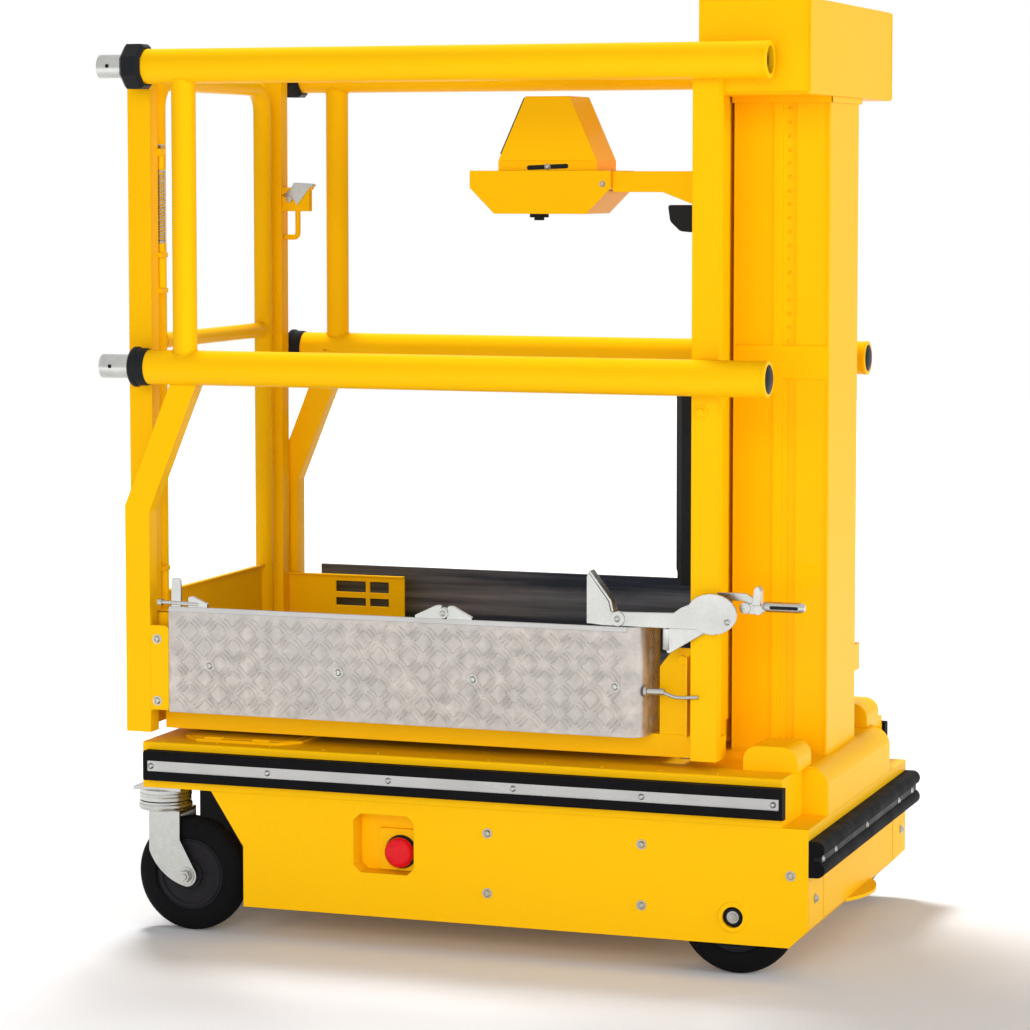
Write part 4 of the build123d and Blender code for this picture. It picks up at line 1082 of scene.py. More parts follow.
def ring(bm, centre, axis, inner, outer, low, high, steps=40, cut=0.6):
    """Adds a flat ring with small chamfers on its outer corners."""
    outline = [(inner, low), (outer - cut, low), (outer, low + cut), (outer, high - cut),
               (outer - cut, high), (inner, high)]
    lathe(bm, outline, centre, axis, steps, closed=True)


def swivel_ring(bm, x, y, radius, thick, z):
    """Adds a pressed ring of the swivel with a round outer edge."""
    outline = [(radius - 6, z - thick)]
    for step in range(9):
        angle = radians(-90 + 22.5 * step)
        outline.append((radius + thick * cos(angle), z + thick * sin(angle)))
    outline.append((radius - 6, z + thick))
    lathe(bm, outline, (x, y, 0), "Z", 56, closed=True)


def hex_nut(bm, x, y, z, side, size):
    """Adds a washer, a hexagon nut and the end of its bolt, looking along Y."""
    places = (y, y + side * 1.8, y + side * (1.8 + size * 0.8), y + side * (4.5 + size * 0.8))
    prism(bm, circle_outline(x, z, size * 1.4, 28), "Y", places[0], places[1])
    prism(bm, circle_outline(x, z, size, 6), "Y", places[1], places[2])
    prism(bm, circle_outline(x, z, size * 0.55, 18), "Y", places[2], places[3])


class LIFT_OT_wheels(bpy.types.Operator):
    """Add the tyres, hub rings, axle nuts and swivel rings"""
    bl_idname = "lift.wheels"
    bl_label = "Wheels and casters"

    def execute(self, context):
        shoulder = context.scene.lift_fitting.tyre_shoulder / MM
        for name, side in SIDES:
            y = side * WHEEL_Y
            for kind, x, width in (("caster", CASTER_AXLE_X, 48.0), ("drive", DRIVE_X, 56.0)):
                wheel = "caster_wheel" if kind == "caster" else "drive_wheel"
                tyre(f"{kind}_tread_{name}", f"{wheel}_{name}", f"{kind}_tyre_{name}", x, y, width,
                     shoulder)
                bm = bmesh.new()
                for face in (-1, 1):
                    place = face * (width / 2 - 6.0)
                    levels = sorted((place - face, place + face * 2.5))
                    ring(bm, (x, y, WHEEL_R), "Y", 52.0, 58.0, *levels, cut=1.0)
                    levels = sorted((place - face, place + face * 1.6))
                    ring(bm, (x, y, WHEEL_R), "Y", 27.0, 31.0, *levels, cut=0.8)
                settle(f"{kind}_hub_rings_{name}", bm, f"{wheel}_{name}", "hub_grey")
            bm = bmesh.new()
            hex_nut(bm, CASTER_AXLE_X, y + side * 35.0, WHEEL_R, side, 11.0)
            hex_nut(bm, CASTER_AXLE_X, y - side * 35.0, WHEEL_R, -side, 11.0)
            settle(f"caster_axle_nuts_{name}", bm, f"caster_{name}", "zinc_steel", 0.5)
            bm = bmesh.new()
            swivel_ring(bm, SWIVEL_X, y, 39.5, 7.6, 218.0)
            settle(f"caster_cup_lip_{name}", bm, f"caster_{name}", "zinc_steel")
            bm = bmesh.new()
            swivel_ring(bm, SWIVEL_X, y, 38.8, 7.4, 237.5)
            settle(f"caster_race_{name}", bm, "base", "zinc_steel")
            bm = bmesh.new()
            ring(bm, (SWIVEL_X, y, 0), "Z", 30.0, 42.0, 226.2, 227.8, 48, cut=0.3)
            settle(f"caster_seal_{name}", bm, "base", "black_rubber")
        return {"FINISHED"}


# Lower body

class LIFT_OT_body_fittings(bpy.types.Operator):
    """Add the stop button, its panel, the axle bushes and the fittings of the tray and tail"""
    bl_idname = "lift.body_fittings"
    bl_label = "Body fittings"

    def execute(self, context):
        self.add_stop_button()
        self.add_axle_bushes()
        self.add_tray_fittings()
        self.add_tail_fittings()
        self.add_floor_hatches()
        return {"FINISHED"}

    def add_stop_button(self):
        """The stop button on its panel in the recess."""
        bm = bmesh.new()
        panel = rounded_outline([(-145, 131), (-78, 131), (-78, 203), (-145, 203)], 5.0)
        prism(bm, panel, "Y", -325.0, -316.5)
        settle("recess_panel", bm, "base", "yellow_paint", 0.8)
        bm = bmesh.new()
        lathe(bm, [(0, -345.6), (9, -345.4), (17, -344.4), (22.5, -342.2), (25.4, -338.6),
                   (26.2, -334.8), (25.6, -331.6), (24.0, -330.6), (15.0, -330.4), (15.0, -324.5),
                   (0, -324.5)], (STOP_X, 0, STOP_Z), "Y", 48)
        settle("stop_dome", bm, "base", "red_plastic", replaced="stop_button")
        bm = bmesh.new()
        ring(bm, (STOP_X, 0, STOP_Z), "Y", 14.0, 29.0, -328.0, -324.5, 48, cut=1.2)
        settle("stop_ring", bm, "base", "black_plastic")

    def add_axle_bushes(self):
        """The drive axles' bushes in the side plates, with their nuts."""
        bm = bmesh.new()
        for side in (-1, 1):
            low, high = sorted((side * 350.0, side * 357.6))
            ring(bm, (DRIVE_X, 0, WHEEL_R), "Y", 17.5, 26.0, low, high, 44, cut=1.4)
        settle("bush_rings", bm, "base", "yellow_paint", replaced="axle_bushes")
        bm = bmesh.new()
        for side in (-1, 1):
            hex_nut(bm, DRIVE_X, side * 354.5, WHEEL_R, side, 7.4)
        settle("bush_nuts", bm, "base", "zinc_steel", 0.4)

    def add_tray_fittings(self):
        """The dome and the two lids on the tray."""
        bm = bmesh.new()
        lathe(bm, [(0, 341.0), (5, 340.6), (10.5, 339.0), (14.5, 336.4), (16.5, 333.6),
                   (17.2, 332.5), (0, 332.5)], (370.0, -201.0, 0), "Z", 32)
        settle("tray_dome", bm, "base", "zinc_steel")
        bm = bmesh.new()
        for side in (-1, 1):
            lid = [(-508, 137), (-312, 137), (-312, 313), (-508, 313)]
            lid = rounded_outline([(x, side * y) for x, y in lid], 26.0)
            prism(bm, lid, "Z", 337.5, 339.2)
            for x in (-455.0, -365.0):
                slab(bm, (x - 16, x + 16), sorted((side * 309.0, side * 322.0)), (337.0, 341.5))
        settle("lid_panels", bm, "base", "yellow_paint", 0.7)

    def add_tail_fittings(self):
        """The sheets, the strip and the seams of the tail."""
        bm = bmesh.new()
        for side in (-1, 1):
            slab(bm, (570.0, 618.4), sorted((side * 224.0, side * 350.8)), (250.0, 253.2))
        settle("tail_covers", bm, "base", "yellow_paint", 0.8)
        bm = bmesh.new()
        arc = [radians(9 * step) for step in range(11)]
        skin = [(584 + 35.5 * cos(a), 298 + 35.5 * sin(a)) for a in arc]
        skin += [(584 + 34.2 * cos(a), 298 + 34.2 * sin(a)) for a in reversed(arc)]
        prism(bm, skin, "Y", -225.6, 225.6)
        settle("foot_skin", bm, "base", "yellow_paint")
        bm = bmesh.new()
        section = [(625.2, 200.2), (634, 199.8), (639.5, 198.8), (639.5, 209.2), (634, 208.2),
                   (625.2, 207.8)]
        prism(bm, section, "Y", -351.0, 351.0)
        settle("tail_strip_face", bm, "base", "black_plastic", 0.5, replaced="end_bumper_strip")
        bm = bmesh.new()
        for y in (-255.0, 252.5):
            slab(bm, (618.6, 619.8), (y, y + 2.5), (88.0, 173.0))
        settle("tail_seams", bm, "base", "yellow_paint")

    def add_floor_hatches(self):
        """Hatches and bosses under the body's floor."""
        bm = bmesh.new()
        for y in (-120.0, 120.0):
            prism(bm, circle_outline(560.0, y, 20.0, 28), "Z", 51.5, 56.0)
        for x in (-330.0, -30.0):
            slab(bm, (x, x + 270.0), (-150.0, 150.0), (52.6, 55.5))
        settle("floor_hatches", bm, "base", "yellow_paint", 0.8)


# Cage

def pierced_plate(bm, columns, rows, holes, axis, low, high):
    """Adds a plate cut into cells by columns and rows, with some of the cells left open."""
    solid = {(i, j) for i in range(len(columns) - 1) for j in range(len(rows) - 1)} - set(holes)
    corners = {}

    def corner(i, j, level):
        key = (i, j, level)
        if key not in corners:
            corners[key] = bm.verts.new(spot(axis, columns[i], rows[j], (low, high)[level]))
        return corners[key]

    for i, j in solid:
        for level in (0, 1):
            bm.faces.new([corner(i + a, j + b, level) for a, b in ((0, 0), (1, 0), (1, 1), (0, 1))])
        edges = (((0, -1), (0, 0), (1, 0)), ((1, 0), (1, 0), (1, 1)), ((0, 1), (1, 1), (0, 1)),
                 ((-1, 0), (0, 1), (0, 0)))
        for (di, dj), first, second in edges:
            if (i + di, j + dj) in solid:
                continue
            a, b = (i + first[0], j + first[1]), (i + second[0], j + second[1])
            bm.faces.new((corner(*a, 0), corner(*b, 0), corner(*b, 1), corner(*a, 1)))


def sleeve(bm, y, z, outline, steps, start=0.0):
    """Adds a turned collar about a rail."""
    lathe(bm, outline, (0, y, z), "X", steps, closed=True, start=start)


class LIFT_OT_cage_fittings(bpy.types.Operator):
    """Add the collars, rail ends, plates and brackets of the cage"""
    bl_idname = "lift.cage_fittings"
    bl_label = "Cage fittings"

    def execute(self, context):
        self.add_rail_ends()
        self.add_plates()
        self.add_head_fittings()
        self.add_toe_board_hems()
        return {"FINISHED"}

    def add_rail_ends(self):
        """Collars at the gate end of the rails, plugs and rings at the other."""
        bm = bmesh.new()
        for side in (-1, 1):
            y = side * RAIL_Y
            sleeve(bm, y, RAIL_TOP_Z, [(23.4, -596), (35, -596), (41.5, -590), (41.5, -564),
                                   (36, -558), (33, -558), (33, -571), (23.4, -571)], 8,
                   radians(22.5))
            sleeve(bm, y, RAIL_MID_Z, [(21.8, -588), (32, -588), (35, -585), (35, -579), (32.6, -576),
                                  (32.6, -563), (31, -558), (30.3, -558), (30.3, -571),
                                  (21.8, -571)], 48)
        settle("sleeve_collars", bm, "cage", "black_plastic", 0.8, replaced="rail_collars")
        bm = bmesh.new()
        for side in (-1, 1):
            for z, outline in (
                    (RAIL_MID_Z, [(0, 549.5), (12, 549.2), (20, 547.6), (25.0, 545.3), (25.2, 544.0),
                             (23.0, 543.0), (22.6, 520.0), (0, 520.0)]),
                    (RAIL_TOP_Z, [(0, 536.5), (21.0, 536.5), (22.9, 535.0), (22.9, 520.0),
                              (0, 520.0)])):
                lathe(bm, outline, (0, side * RAIL_Y, z), "X", 36)
        settle("rail_end_plugs", bm, "cage", "black_plastic", replaced="rail_plugs")
        bm = bmesh.new()
        for side in (-1, 1):
            for z in (RAIL_MID_Z, RAIL_TOP_Z):
                ring(bm, (0, side * RAIL_Y, z), "X", 22.9, 30.6, 538.0, 545.6, 40, cut=1.2)
        settle("rail_end_rings", bm, "cage", "yellow_paint")

    def add_plates(self):
        """Corner plates of the floor frame and gussets of the toe boards."""
        bm = bmesh.new()
        for side in (-1, 1):
            levels = sorted((side * 341.0, side * 345.4))
            plate = rounded_outline([(-563, 388), (-527, 388), (-527, 536), (-563, 536)],
                                    [0, 5, 9, 0])
            prism(bm, plate, "Y", *levels)
            levels = sorted((side * 287.5, side * 291.5))
            plate = rounded_outline([(346, 386), (409, 386), (409, 532), (372, 532), (346, 500)],
                                    [0, 0, 0, 10, 10])
            prism(bm, plate, "Y", *levels)
            slab(bm, (396, 400), sorted((side * 291.0, side * 314.0)), (386, 520))
            levels = sorted((side * 291.0, side * 297.0))
            prism(bm, circle_outline(386, 512, 8.0), "Y", *levels)
        settle("corner_plates", bm, "cage", "yellow_paint", 0.8)

    def add_head_fittings(self):
        """Plates on the mast head, and its lip about the mast."""
        bm = bmesh.new()
        for side in (-1, 1):
            for x in (430.0, 518.0):
                levels = sorted((side * 289.0, side * 292.5))
                plate = [(x - 16, 1466), (x + 16, 1466), (x + 16, 1498), (x - 16, 1498)]
                prism(bm, rounded_outline(plate, 6.0), "Y", *levels)
        slab(bm, (423.0, 583.0), (-272.0, 272.0), (1602.0, 1602.9))
        settle("head_plates", bm, "cage", "yellow_paint", 0.6)
        bm = bmesh.new()
        for side in (-1, 1):
            slab(bm, (412.5, 588.5), sorted((side * 102.5, side * 105.0)), (1437.0, 1448.0))
        slab(bm, (412.5, 414.8), (-105.0, 105.0), (1437.0, 1448.0))
        slab(bm, (586.2, 588.5), (-105.0, 105.0), (1437.0, 1448.0))
        settle("head_lip", bm, "cage", "yellow_paint", 0.5)

    def add_toe_board_hems(self):
        """Bright hems along the top of the toe boards."""
        bm = bmesh.new()
        for side in (-1, 1):
            levels = sorted((side * 344.6, side * 347.4))
            slab(bm, (-525.5, 306.0), levels, (561.5, 570.6))
        settle("toe_board_hems", bm, "cage", "bare_aluminium", 0.7)


# Deck gear: lever, toggle, clips and pin on the near side

class LIFT_OT_deck_gear(bpy.types.Operator):
    """Add the lever, the toggle, the pin and the slide bar that lock the deck extension"""
    bl_idname = "lift.deck_gear"
    bl_label = "Deck gear"

    def execute(self, context):
        self.add_lever()
        self.add_clips()
        self.add_slide_bar()
        return {"FINISHED"}

    def add_lever(self):
        """The lever with its lobe, its toggle arm and its grip."""
        lobe = []
        for step in range(19):
            angle = radians(155 - 15 * step)
            lobe.append((449 + 43 * cos(angle), 597 + 34 * sin(angle)))
        lever = [(241, 573), (234, 573), (234, 651), (237, 659), (272, 611), (276, 594),
                 (384, 596.5), (397, 606)] + lobe + [(424, 570.8), (262, 570.8)]
        bm = bmesh.new()
        prism(bm, lever, "Y", -341.0, -336.0)
        prism(bm, [(237, 659.5), (273, 611.5), (277, 594.5), (281, 594.5), (277, 613),
                   (240, 662)], "Y", -341.0, -318.5)
        prism(bm, circle_outline(288, 583, 12.5, 32), "Y", -343.5, -335.5)
        bracket = rounded_outline([(372, 526), (449, 573), (449, 577), (371, 577)], [4, 2, 2, 2])
        prism(bm, bracket, "Y", -339.0, -334.0)
        prism(bm, [(408, 548), (449, 571), (449, 577), (408, 577)], "Y", -336.0, -317.8)
        lathe(bm, [(0, 534.0), (5.4, 534.6), (6.2, 536.0), (6.2, 570.0), (0, 570.0)],
              (371.0, -337.0, 0), "Z", 20)
        arm = rounded_outline([(451.6, 618), (498, 618), (512, 611), (516, 622), (500, 631),
                               (451.6, 631)], [0, 4, 4, 4, 5, 0])
        prism(bm, arm, "Y", -316.0, -309.0)
        prism(bm, circle_outline(500, 607, 9.5, 28), "Y", -320.5, -304.0)
        prism(bm, circle_outline(522, 605, 8.5, 28), "Y", -320.5, -304.0)
        prism(bm, rounded_outline([(500, 598), (524, 597), (534, 603), (534, 612), (500, 616)], 3.0),
              "Y", -318.5, -306.0)
        flipper = rounded_outline([(512, 612), (516, 640), (523, 645), (527, 636), (526, 612)],
                                  [0, 5, 3, 4, 0])
        prism(bm, flipper, "Y", -321.5, -303.0)
        lathe(bm, [(0, 530), (6.5, 530), (8.4, 533), (9.0, 540), (9.0, 590), (8.0, 596),
                   (5.0, 599.4), (0, 600.2)], (0, -312.0, 610.0), "X", 28)
        settle("deck_lever_gear", bm, "cage", "zinc_steel", 0.7, replaced="deck_lock")
        bm = bmesh.new()
        slot = rounded_outline([(542, 607), (590, 607), (590, 612.5), (542, 612.5)], 2.6)
        prism(bm, slot, "Y", -321.3, -319.0)
        settle("grip_slot", bm, "cage", "black_plastic")

    def add_clips(self):
        """The clips on the near toe board."""
        bm = bmesh.new()
        low = TOE_BOARD_TOP_Z
        clips = (
            # outline on the board's top edge, radii of its corners, its two places on Y
            ([(-69, low), (-69, 575), (-32, 592.5), (-22, 593.5), (-20, low)],
             [0, 2, 6, 3, 0], (-347.0, -340.0)),
            ([(-12, low), (-10, 592), (-1, 592.5), (33, 575), (33, low)],
             [0, 3, 6, 2, 0], (-347.0, -340.0)),
            ([(-521, low), (-521, 620), (-503, 620), (-503, low)],
             [0, 4, 6, 0], (-346.0, -340.5)),
            ([(-489, low), (-489, 588), (-480, 589), (-453, 578), (-453, low)],
             [0, 3, 4, 3, 0], (-346.5, -339.5)),
        )
        for outline, radii, places in clips:
            prism(bm, rounded_outline(outline, radii), "Y", *places)
        prism(bm, circle_outline(-18, 580, 9.0, 28), "Y", -350.0, -338.5)
        settle("deck_clip_wings", bm, "cage", "zinc_steel", 0.6, replaced="deck_clips")

    def add_slide_bar(self):
        """The bar along the toe board, and the pin with its bent wire."""
        bm = bmesh.new()
        sweep(bm, [(-544, -344.6, 577), (-522, -344.6, 577), (-470, -344.6, 575.5)], 3.6, 14)
        sweep(bm, [(-546, -344.6, 577), (-538, -344.6, 577)], 6.0, 18)
        lathe(bm, [(0, 330.5), (8.0, 330.5), (10.0, 332.6), (10.0, 336.0), (6.0, 338.0), (5.5, 366),
                   (0, 366)], (0, -330.0, 463.0), "X", 24)
        hook = rounded_path([(360, -330, 463), (384, -330, 455), (398, -330, 455),
                             (424, -330, 457)], 8.0)
        sweep(bm, hook, 3.2, 12)
        settle("slide_bar_and_pin", bm, "cage", "zinc_steel", 0.0)


# End frame and gate

class LIFT_OT_gate(bpy.types.Operator):
    """Add the bent gate tube, its spring, the latch hook and the pierced end boards"""
    bl_idname = "lift.gate"
    bl_label = "Gate and end frame"

    def execute(self, context):
        self.add_gate()
        self.add_spring(context.scene.lift_fitting)
        self.add_latch()
        self.add_end_boards()
        return {"FINISHED"}

    def add_gate(self):
        """The bent tube with its middle tube and knuckles, and the toe board."""
        reach = 233.0
        bm = bmesh.new()
        loop = rounded_path([(GATE_X, -reach, 430), (GATE_X, reach, 430), (GATE_X, reach, 1480),
                             (GATE_X, -reach, 1480)], 50.0, 9, closed=True)
        sweep(bm, loop, 17.0, 24, closed=True)
        sweep(bm, [(GATE_X, -reach + 6, 1024), (GATE_X, reach - 6, 1024)], 14.0, 20)
        for z in (560.0, 1110.0):
            low, high = z + 8.3, z + 61.7
            ring(bm, (HINGE_X, HINGE_Y, 0), "Z", 6.3, 9.0, low, high, 24, cut=0.6)
            slab(bm, (GATE_X, HINGE_X - 4), (HINGE_Y - 3, -reach), (low + 4, high - 4))
        settle("gate_loop", bm, "gate", "yellow_paint", replaced="gate_frame")
        bm = bmesh.new()
        board = rounded_outline([(-214, 447), (214, 447), (214, 580), (-214, 580)],
                                [38, 38, 4, 4])
        prism(bm, board, "X", GATE_X - 1.6, GATE_X + 1.6)
        slab(bm, (GATE_X - 1.6, GATE_X + 9), (-214, 214), (577.0, 580.5))
        settle("gate_board", bm, "gate", "yellow_paint", 0.5, replaced="gate_toe_board")

    def add_spring(self, settings):
        """The coil on the hinge pin, its washers and the pin's nut."""
        coil = grown("gate_coil", spring_seat(HINGE_X, HINGE_Y, 1201.5), spring_tree(), {
            "Coil radius": settings.spring_radius, "Wire radius": settings.spring_wire,
            "Height": 0.117, "Turns": 26.0, "Finish": bpy.data.materials["zinc_steel"]},
            "extension", "zinc_steel")
        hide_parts("gate_spring")
        bm = bmesh.new()
        for z in (1196.5, 1319.2):
            ring(bm, (HINGE_X, HINGE_Y, 0), "Z", 6.2, 9.5, z, z + 4.3, 24)
        lathe(bm, [(0, 1369.0), (6, 1368.6), (8.0, 1367.0), (8.0, 1361.2), (0, 1361.2)],
              (HINGE_X, HINGE_Y, 0), "Z", 6)
        settle("spring_washers", bm, "extension", "zinc_steel")

    def add_latch(self):
        """The hook and the loop that hold the gate shut."""
        bm = bmesh.new()
        hook = rounded_outline([(-576, 1276), (-556, 1291), (-551, 1301), (-515, 1299),
                                (-511, 1295), (-519, 1291), (-545, 1257), (-550, 1268)],
                               [0, 2, 3, 3, 2, 2, 3, 2])
        prism(bm, hook, "Y", 274.5, 291.5)
        prism(bm, circle_outline(-560, 1270, 6.0, 20), "Y", 271.0, 293.0)
        settle("latch_hook", bm, "extension", "zinc_steel", 0.7)
        bm = bmesh.new()
        loop = rounded_path([(-572, 283, 1198), (-546, 283, 1198), (-546, 283, 1250)], 8.0)
        sweep(bm, loop, 5.0, 14)
        settle("latch_loop", bm, "extension", "yellow_paint")

    def add_end_boards(self):
        """The boards beside the extension deck; the far one is pierced."""
        bm = bmesh.new()
        columns, rows = [-618, -479, -418, -409.5, -371, -339], [396, 497, 512, 523, 544, 556]
        holes = [(1, 1), (3, 1), (1, 3), (3, 3)]
        pierced_plate(bm, columns, rows, holes, "Y", 302.0, 305.0)
        slab(bm, (-618, -339), (295.0, 305.0), (553.5, 556.5))
        slab(bm, (-618, -339), (-305.0, -302.0), (396, 556))
        slab(bm, (-618, -339), (-305.0, -295.0), (553.5, 556.5))
        settle("end_boards", bm, "extension", "yellow_paint", 0.5, replaced="extension_toe_boards")


# Controls and document box

class LIFT_OT_controls(bpy.types.Operator):
    """Add the fittings of the control box, its arm and the document box"""
    bl_idname = "lift.controls"
    bl_label = "Controls"

    def execute(self, context):
        self.add_control_box()
        self.add_document_box()
        return {"FINISHED"}

    def add_control_box(self):
        """The box's black fittings, its stop button, keys and fold."""
        bm = bmesh.new()
        slot = rounded_outline([(30, 1324), (106, 1327), (106, 1335), (30, 1332)], 3.8)
        prism(bm, slot, "Y", -55.8, -54.0)
        prism(bm, circle_outline(34, 0, 17.0, 28), "Z", 1241.0, 1248.4)
        prism(bm, circle_outline(34, 0, 9.0, 24), "Z", 1236.0, 1242.0)
        face = [(-20.5, 1351), (23.5, 1449), (20.8, 1450.2), (-23.2, 1352.2)]
        prism(bm, face, "Y", -46.0, 46.0)
        stick = [(6, 28, 1398), (1, 28, 1400.2), (-3, 28, 1402), (-7, 28, 1403.8),
                 (-11, 28, 1405.6), (-14, 28, 1407), (-15.5, 28, 1407.6)]
        sweep(bm, stick, [15, 12, 6.0, 7.0, 9.5, 8.0, 3.0], 22)
        prism(bm, rounded_outline([(286, 1264), (290, 1236), (308, 1219), (330, 1217),
                                   (348, 1228), (350, 1264)], [4, 12, 14, 14, 12, 4], 7),
              "Y", -54.0, -26.0)
        settle("control_fittings", bm, "cage", "black_plastic", 0.6)
        bm = bmesh.new()
        lathe(bm, [(0, 54.0), (8.5, 54.0), (8.5, 62), (15, 63), (15.5, 68), (13, 71), (0, 72)],
              (66.0, 0, 1396.0), "Y", 30)
        settle("cage_stop", bm, "cage", "red_plastic")
        bm = bmesh.new()
        sweep(bm, [(-6, 22, 1381), (-12, 22, 1383.7)], 7.0, 22)
        sweep(bm, [(-14, 22, 1362), (-20, 22, 1364.7)], 7.0, 22)
        settle("cage_keys", bm, "cage", "zinc_steel", 0.5)
        bm = bmesh.new()
        slab(bm, (-18.0, 152.0), (-56.4, 56.4), (1337.6, 1340.2))
        settle("control_fold", bm, "cage", "yellow_paint", 0.5)

    def add_document_box(self):
        """The door and the ribs of the document box."""
        bm = bmesh.new()
        door = rounded_outline([(-98, 634), (98, 634), (98, 946), (-98, 946)], 10.0)
        prism(bm, door, "X", 316.2, 321.0)
        inner = rounded_outline([(-84, 650), (84, 650), (84, 930), (-84, 930)], 8.0)
        prism(bm, inner, "X", 314.6, 318.0)
        for y in (-78.0, 78.0):
            slab(bm, (314.0, 322.0), (y - 15, y + 15), (944.0, 958.0))
        slab(bm, (312.2, 318.0), (-20, 20), (640.0, 656.0))
        settle("document_door", bm, "cage", "black_plastic", 1.0)
        bm = bmesh.new()
        for side in (-1, 1):
            for z in (700.0, 790.0, 880.0):
                slab(bm, (335.0, 398.0), sorted((side * 109.0, side * 111.6)), (z - 3, z + 3))
        settle("document_ribs", bm, "cage", "black_plastic", 0.8)


# Stage


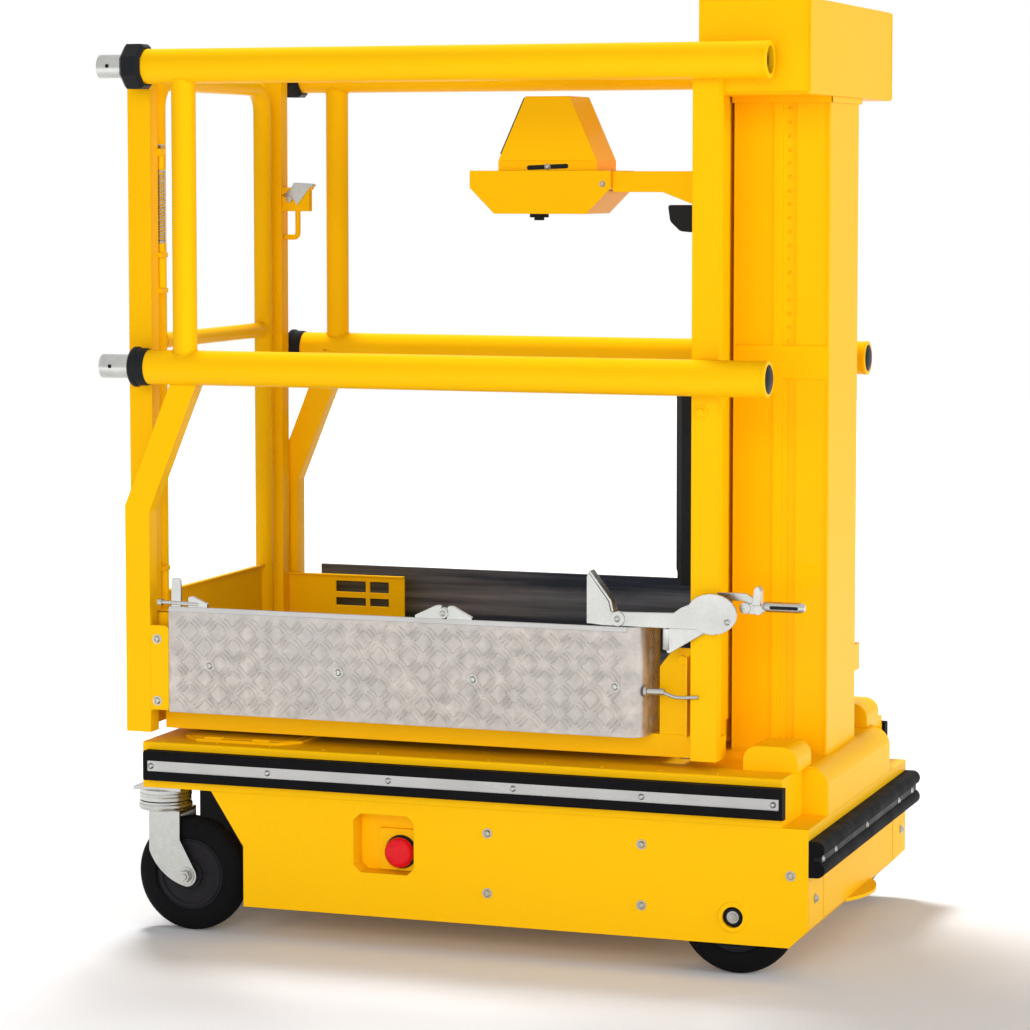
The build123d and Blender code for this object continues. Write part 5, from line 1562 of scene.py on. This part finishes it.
class LIFT_OT_stage(bpy.types.Operator):
    """Add the floor, the lamps, the sky and the camera at the photograph's angle"""
    bl_idname = "lift.stage"
    bl_label = "Stage"

    def execute(self, context):
        settings = context.scene.lift_stage
        scene = context.scene
        scene.view_settings.view_transform = "Standard"
        self.add_floor(settings)
        self.add_sky(scene, settings)
        self.add_lamp("key_lamp", (0.9, -6.5, 1.9), (0, 0, 0.85), 3.8, settings.key_power)
        self.add_lamp("side_lamp", (5.6, -1.2, 1.8), (0.3, 0, 0.85), 3.2, settings.fill_power)
        self.add_lamp("back_lamp", (-1.4, 1.8, 5.7), (0, 0, 0.3), 1.5, settings.back_power)
        camera = bpy.data.cameras.new("camera")
        camera.lens = 118.86
        camera.sensor_width = 36.0
        camera.shift_y = -0.08
        camera.clip_end = 60.0
        view = bpy.data.objects.new("camera", camera)
        view.location = (1.9747, -5.6722, 1.3159)
        view.rotation_euler = (radians(90 - 4.3367), 0, radians(19.2968))
        scene.collection.objects.link(view)
        scene.camera = view
        return {"FINISHED"}

    def add_floor(self, settings):
        """A plain round floor, pale to the camera, which keeps the object's shadow."""
        bm = bmesh.new()
        bmesh.ops.create_circle(bm, cap_ends=True, segments=96, radius=14.0)
        mesh = bpy.data.meshes.new("floor")
        bm.to_mesh(mesh)
        bm.free()
        floor = bpy.data.objects.new("floor", mesh)
        bpy.context.scene.collection.objects.link(floor)
        material = bpy.data.materials.new("floor_paper")
        material.use_nodes = True
        tree = material.node_tree
        shader = tree.nodes["Principled BSDF"]
        shader.inputs["Base Color"].default_value = tuple(settings.floor)
        shader.inputs["Roughness"].default_value = 0.9
        shader.inputs["Specular IOR Level"].default_value = 0.0
        out = tree.nodes["Material Output"]
        place = tree.nodes.new("ShaderNodeTexCoord").outputs["Object"]
        away = node(tree, "ShaderNodeVectorMath", {0: place}, operation="LENGTH")
        lift = node(tree, "ShaderNodeMapRange", {
            "Value": away.outputs["Value"], "From Min": 1.1, "From Max": 3.2,
            "To Min": settings.floor_lift, "To Max": 1.0}, interpolation_type="SMOOTHSTEP")
        glow = node(tree, "ShaderNodeEmission", {"Strength": lift.outputs[0]})
        lifted = tree.nodes.new("ShaderNodeAddShader")
        tree.links.new(shader.outputs[0], lifted.inputs[0])
        tree.links.new(glow.outputs[0], lifted.inputs[1])
        mix = tree.nodes.new("ShaderNodeMixShader")
        tree.links.new(self.seen_directly(tree), mix.inputs[0])
        tree.links.new(shader.outputs[0], mix.inputs[1])
        tree.links.new(lifted.outputs[0], mix.inputs[2])
        tree.links.new(mix.outputs[0], out.inputs["Surface"])
        mesh.materials.append(material)

    def seen_directly(self, tree):
        """One for rays that show the room: to the camera, in gloss and through glass."""
        ray = tree.nodes.new("ShaderNodeLightPath")
        first = node(tree, "ShaderNodeMath", {
            0: ray.outputs["Is Camera Ray"], 1: ray.outputs["Is Glossy Ray"]}, operation="MAXIMUM")
        both = node(tree, "ShaderNodeMath", {
            0: first.outputs[0], 1: ray.outputs["Is Transmission Ray"]}, operation="MAXIMUM")
        return both.outputs[0]

    def add_sky(self, scene, settings):
        """Even light from all sides, and white where the camera or gloss sees past the floor."""
        world = bpy.data.worlds.new("sky")
        scene.world = world
        world.use_nodes = True
        tree = world.node_tree
        tree.nodes.clear()
        out = tree.nodes.new("ShaderNodeOutputWorld")
        light = node(tree, "ShaderNodeBackground", {
            "Color": (1.0, 1.0, 1.0, 1.0), "Strength": settings.sky})
        seen = node(tree, "ShaderNodeBackground", {
            "Color": (1.0, 1.0, 1.0, 1.0), "Strength": 1.0})
        mix = tree.nodes.new("ShaderNodeMixShader")
        tree.links.new(self.seen_directly(tree), mix.inputs[0])
        tree.links.new(light.outputs[0], mix.inputs[1])
        tree.links.new(seen.outputs[0], mix.inputs[2])
        tree.links.new(mix.outputs[0], out.inputs["Surface"])

    def add_lamp(self, name, place, aim, size, power):
        """A square soft lamp that looks at a point; gloss shows the white room, not the lamp."""
        lamp = bpy.data.lights.new(name, "AREA")
        lamp.size = size
        lamp.energy = power
        made = bpy.data.objects.new(name, lamp)
        made.location = place
        made.rotation_euler = (Vector(aim) - Vector(place)).to_track_quat("-Z", "Y").to_euler()
        made.visible_glossy = False
        bpy.context.scene.collection.objects.link(made)


OPERATORS = (
    LIFT_OT_stage, LIFT_OT_finishes, LIFT_OT_wheels, LIFT_OT_body_fittings,
    LIFT_OT_cage_fittings, LIFT_OT_deck_gear, LIFT_OT_gate, LIFT_OT_controls, LIFT_OT_tread,
    LIFT_OT_welds, LIFT_OT_fasteners,
)


class LIFT_PT_panel(bpy.types.Panel):
    """Lists the pieces of the lift"""
    bl_label = "Mast lift"
    bl_idname = "LIFT_PT_panel"
    bl_space_type = "VIEW_3D"
    bl_region_type = "UI"
    bl_category = "Mast lift"

    def draw(self, context):
        for operator in OPERATORS:
            self.layout.operator(operator.bl_idname)
        for settings in (context.scene.lift_finish, context.scene.lift_fastener,
                         context.scene.lift_fitting, context.scene.lift_stage):
            box = self.layout.box()
            for name in settings.bl_rna.properties.keys():
                if name not in ("rna_type", "name"):
                    box.prop(settings, name)


SETTINGS = (
    ("lift_finish", LiftFinishSettings), ("lift_fastener", LiftFastenerSettings),
    ("lift_fitting", LiftFittingSettings), ("lift_stage", LiftStageSettings),
)


def register():
    for name, group in SETTINGS:
        bpy.utils.register_class(group)
        setattr(bpy.types.Scene, name, bpy.props.PointerProperty(type=group))
    for operator in OPERATORS:
        bpy.utils.register_class(operator)
    bpy.utils.register_class(LIFT_PT_panel)


def unregister():
    bpy.utils.unregister_class(LIFT_PT_panel)
    for operator in reversed(OPERATORS):
        bpy.utils.unregister_class(operator)
    for name, group in reversed(SETTINGS):
        delattr(bpy.types.Scene, name)
        bpy.utils.unregister_class(group)


def main():
    register()
    for operator in OPERATORS:
        group, name = operator.bl_idname.split(".")
        result = getattr(getattr(bpy.ops, group), name)()
        if result != {"FINISHED"}:
            raise RuntimeError(f"{operator.bl_label} did not finish")
    bpy.context.view_layer.update()


if __name__ == "__main__":
    main()
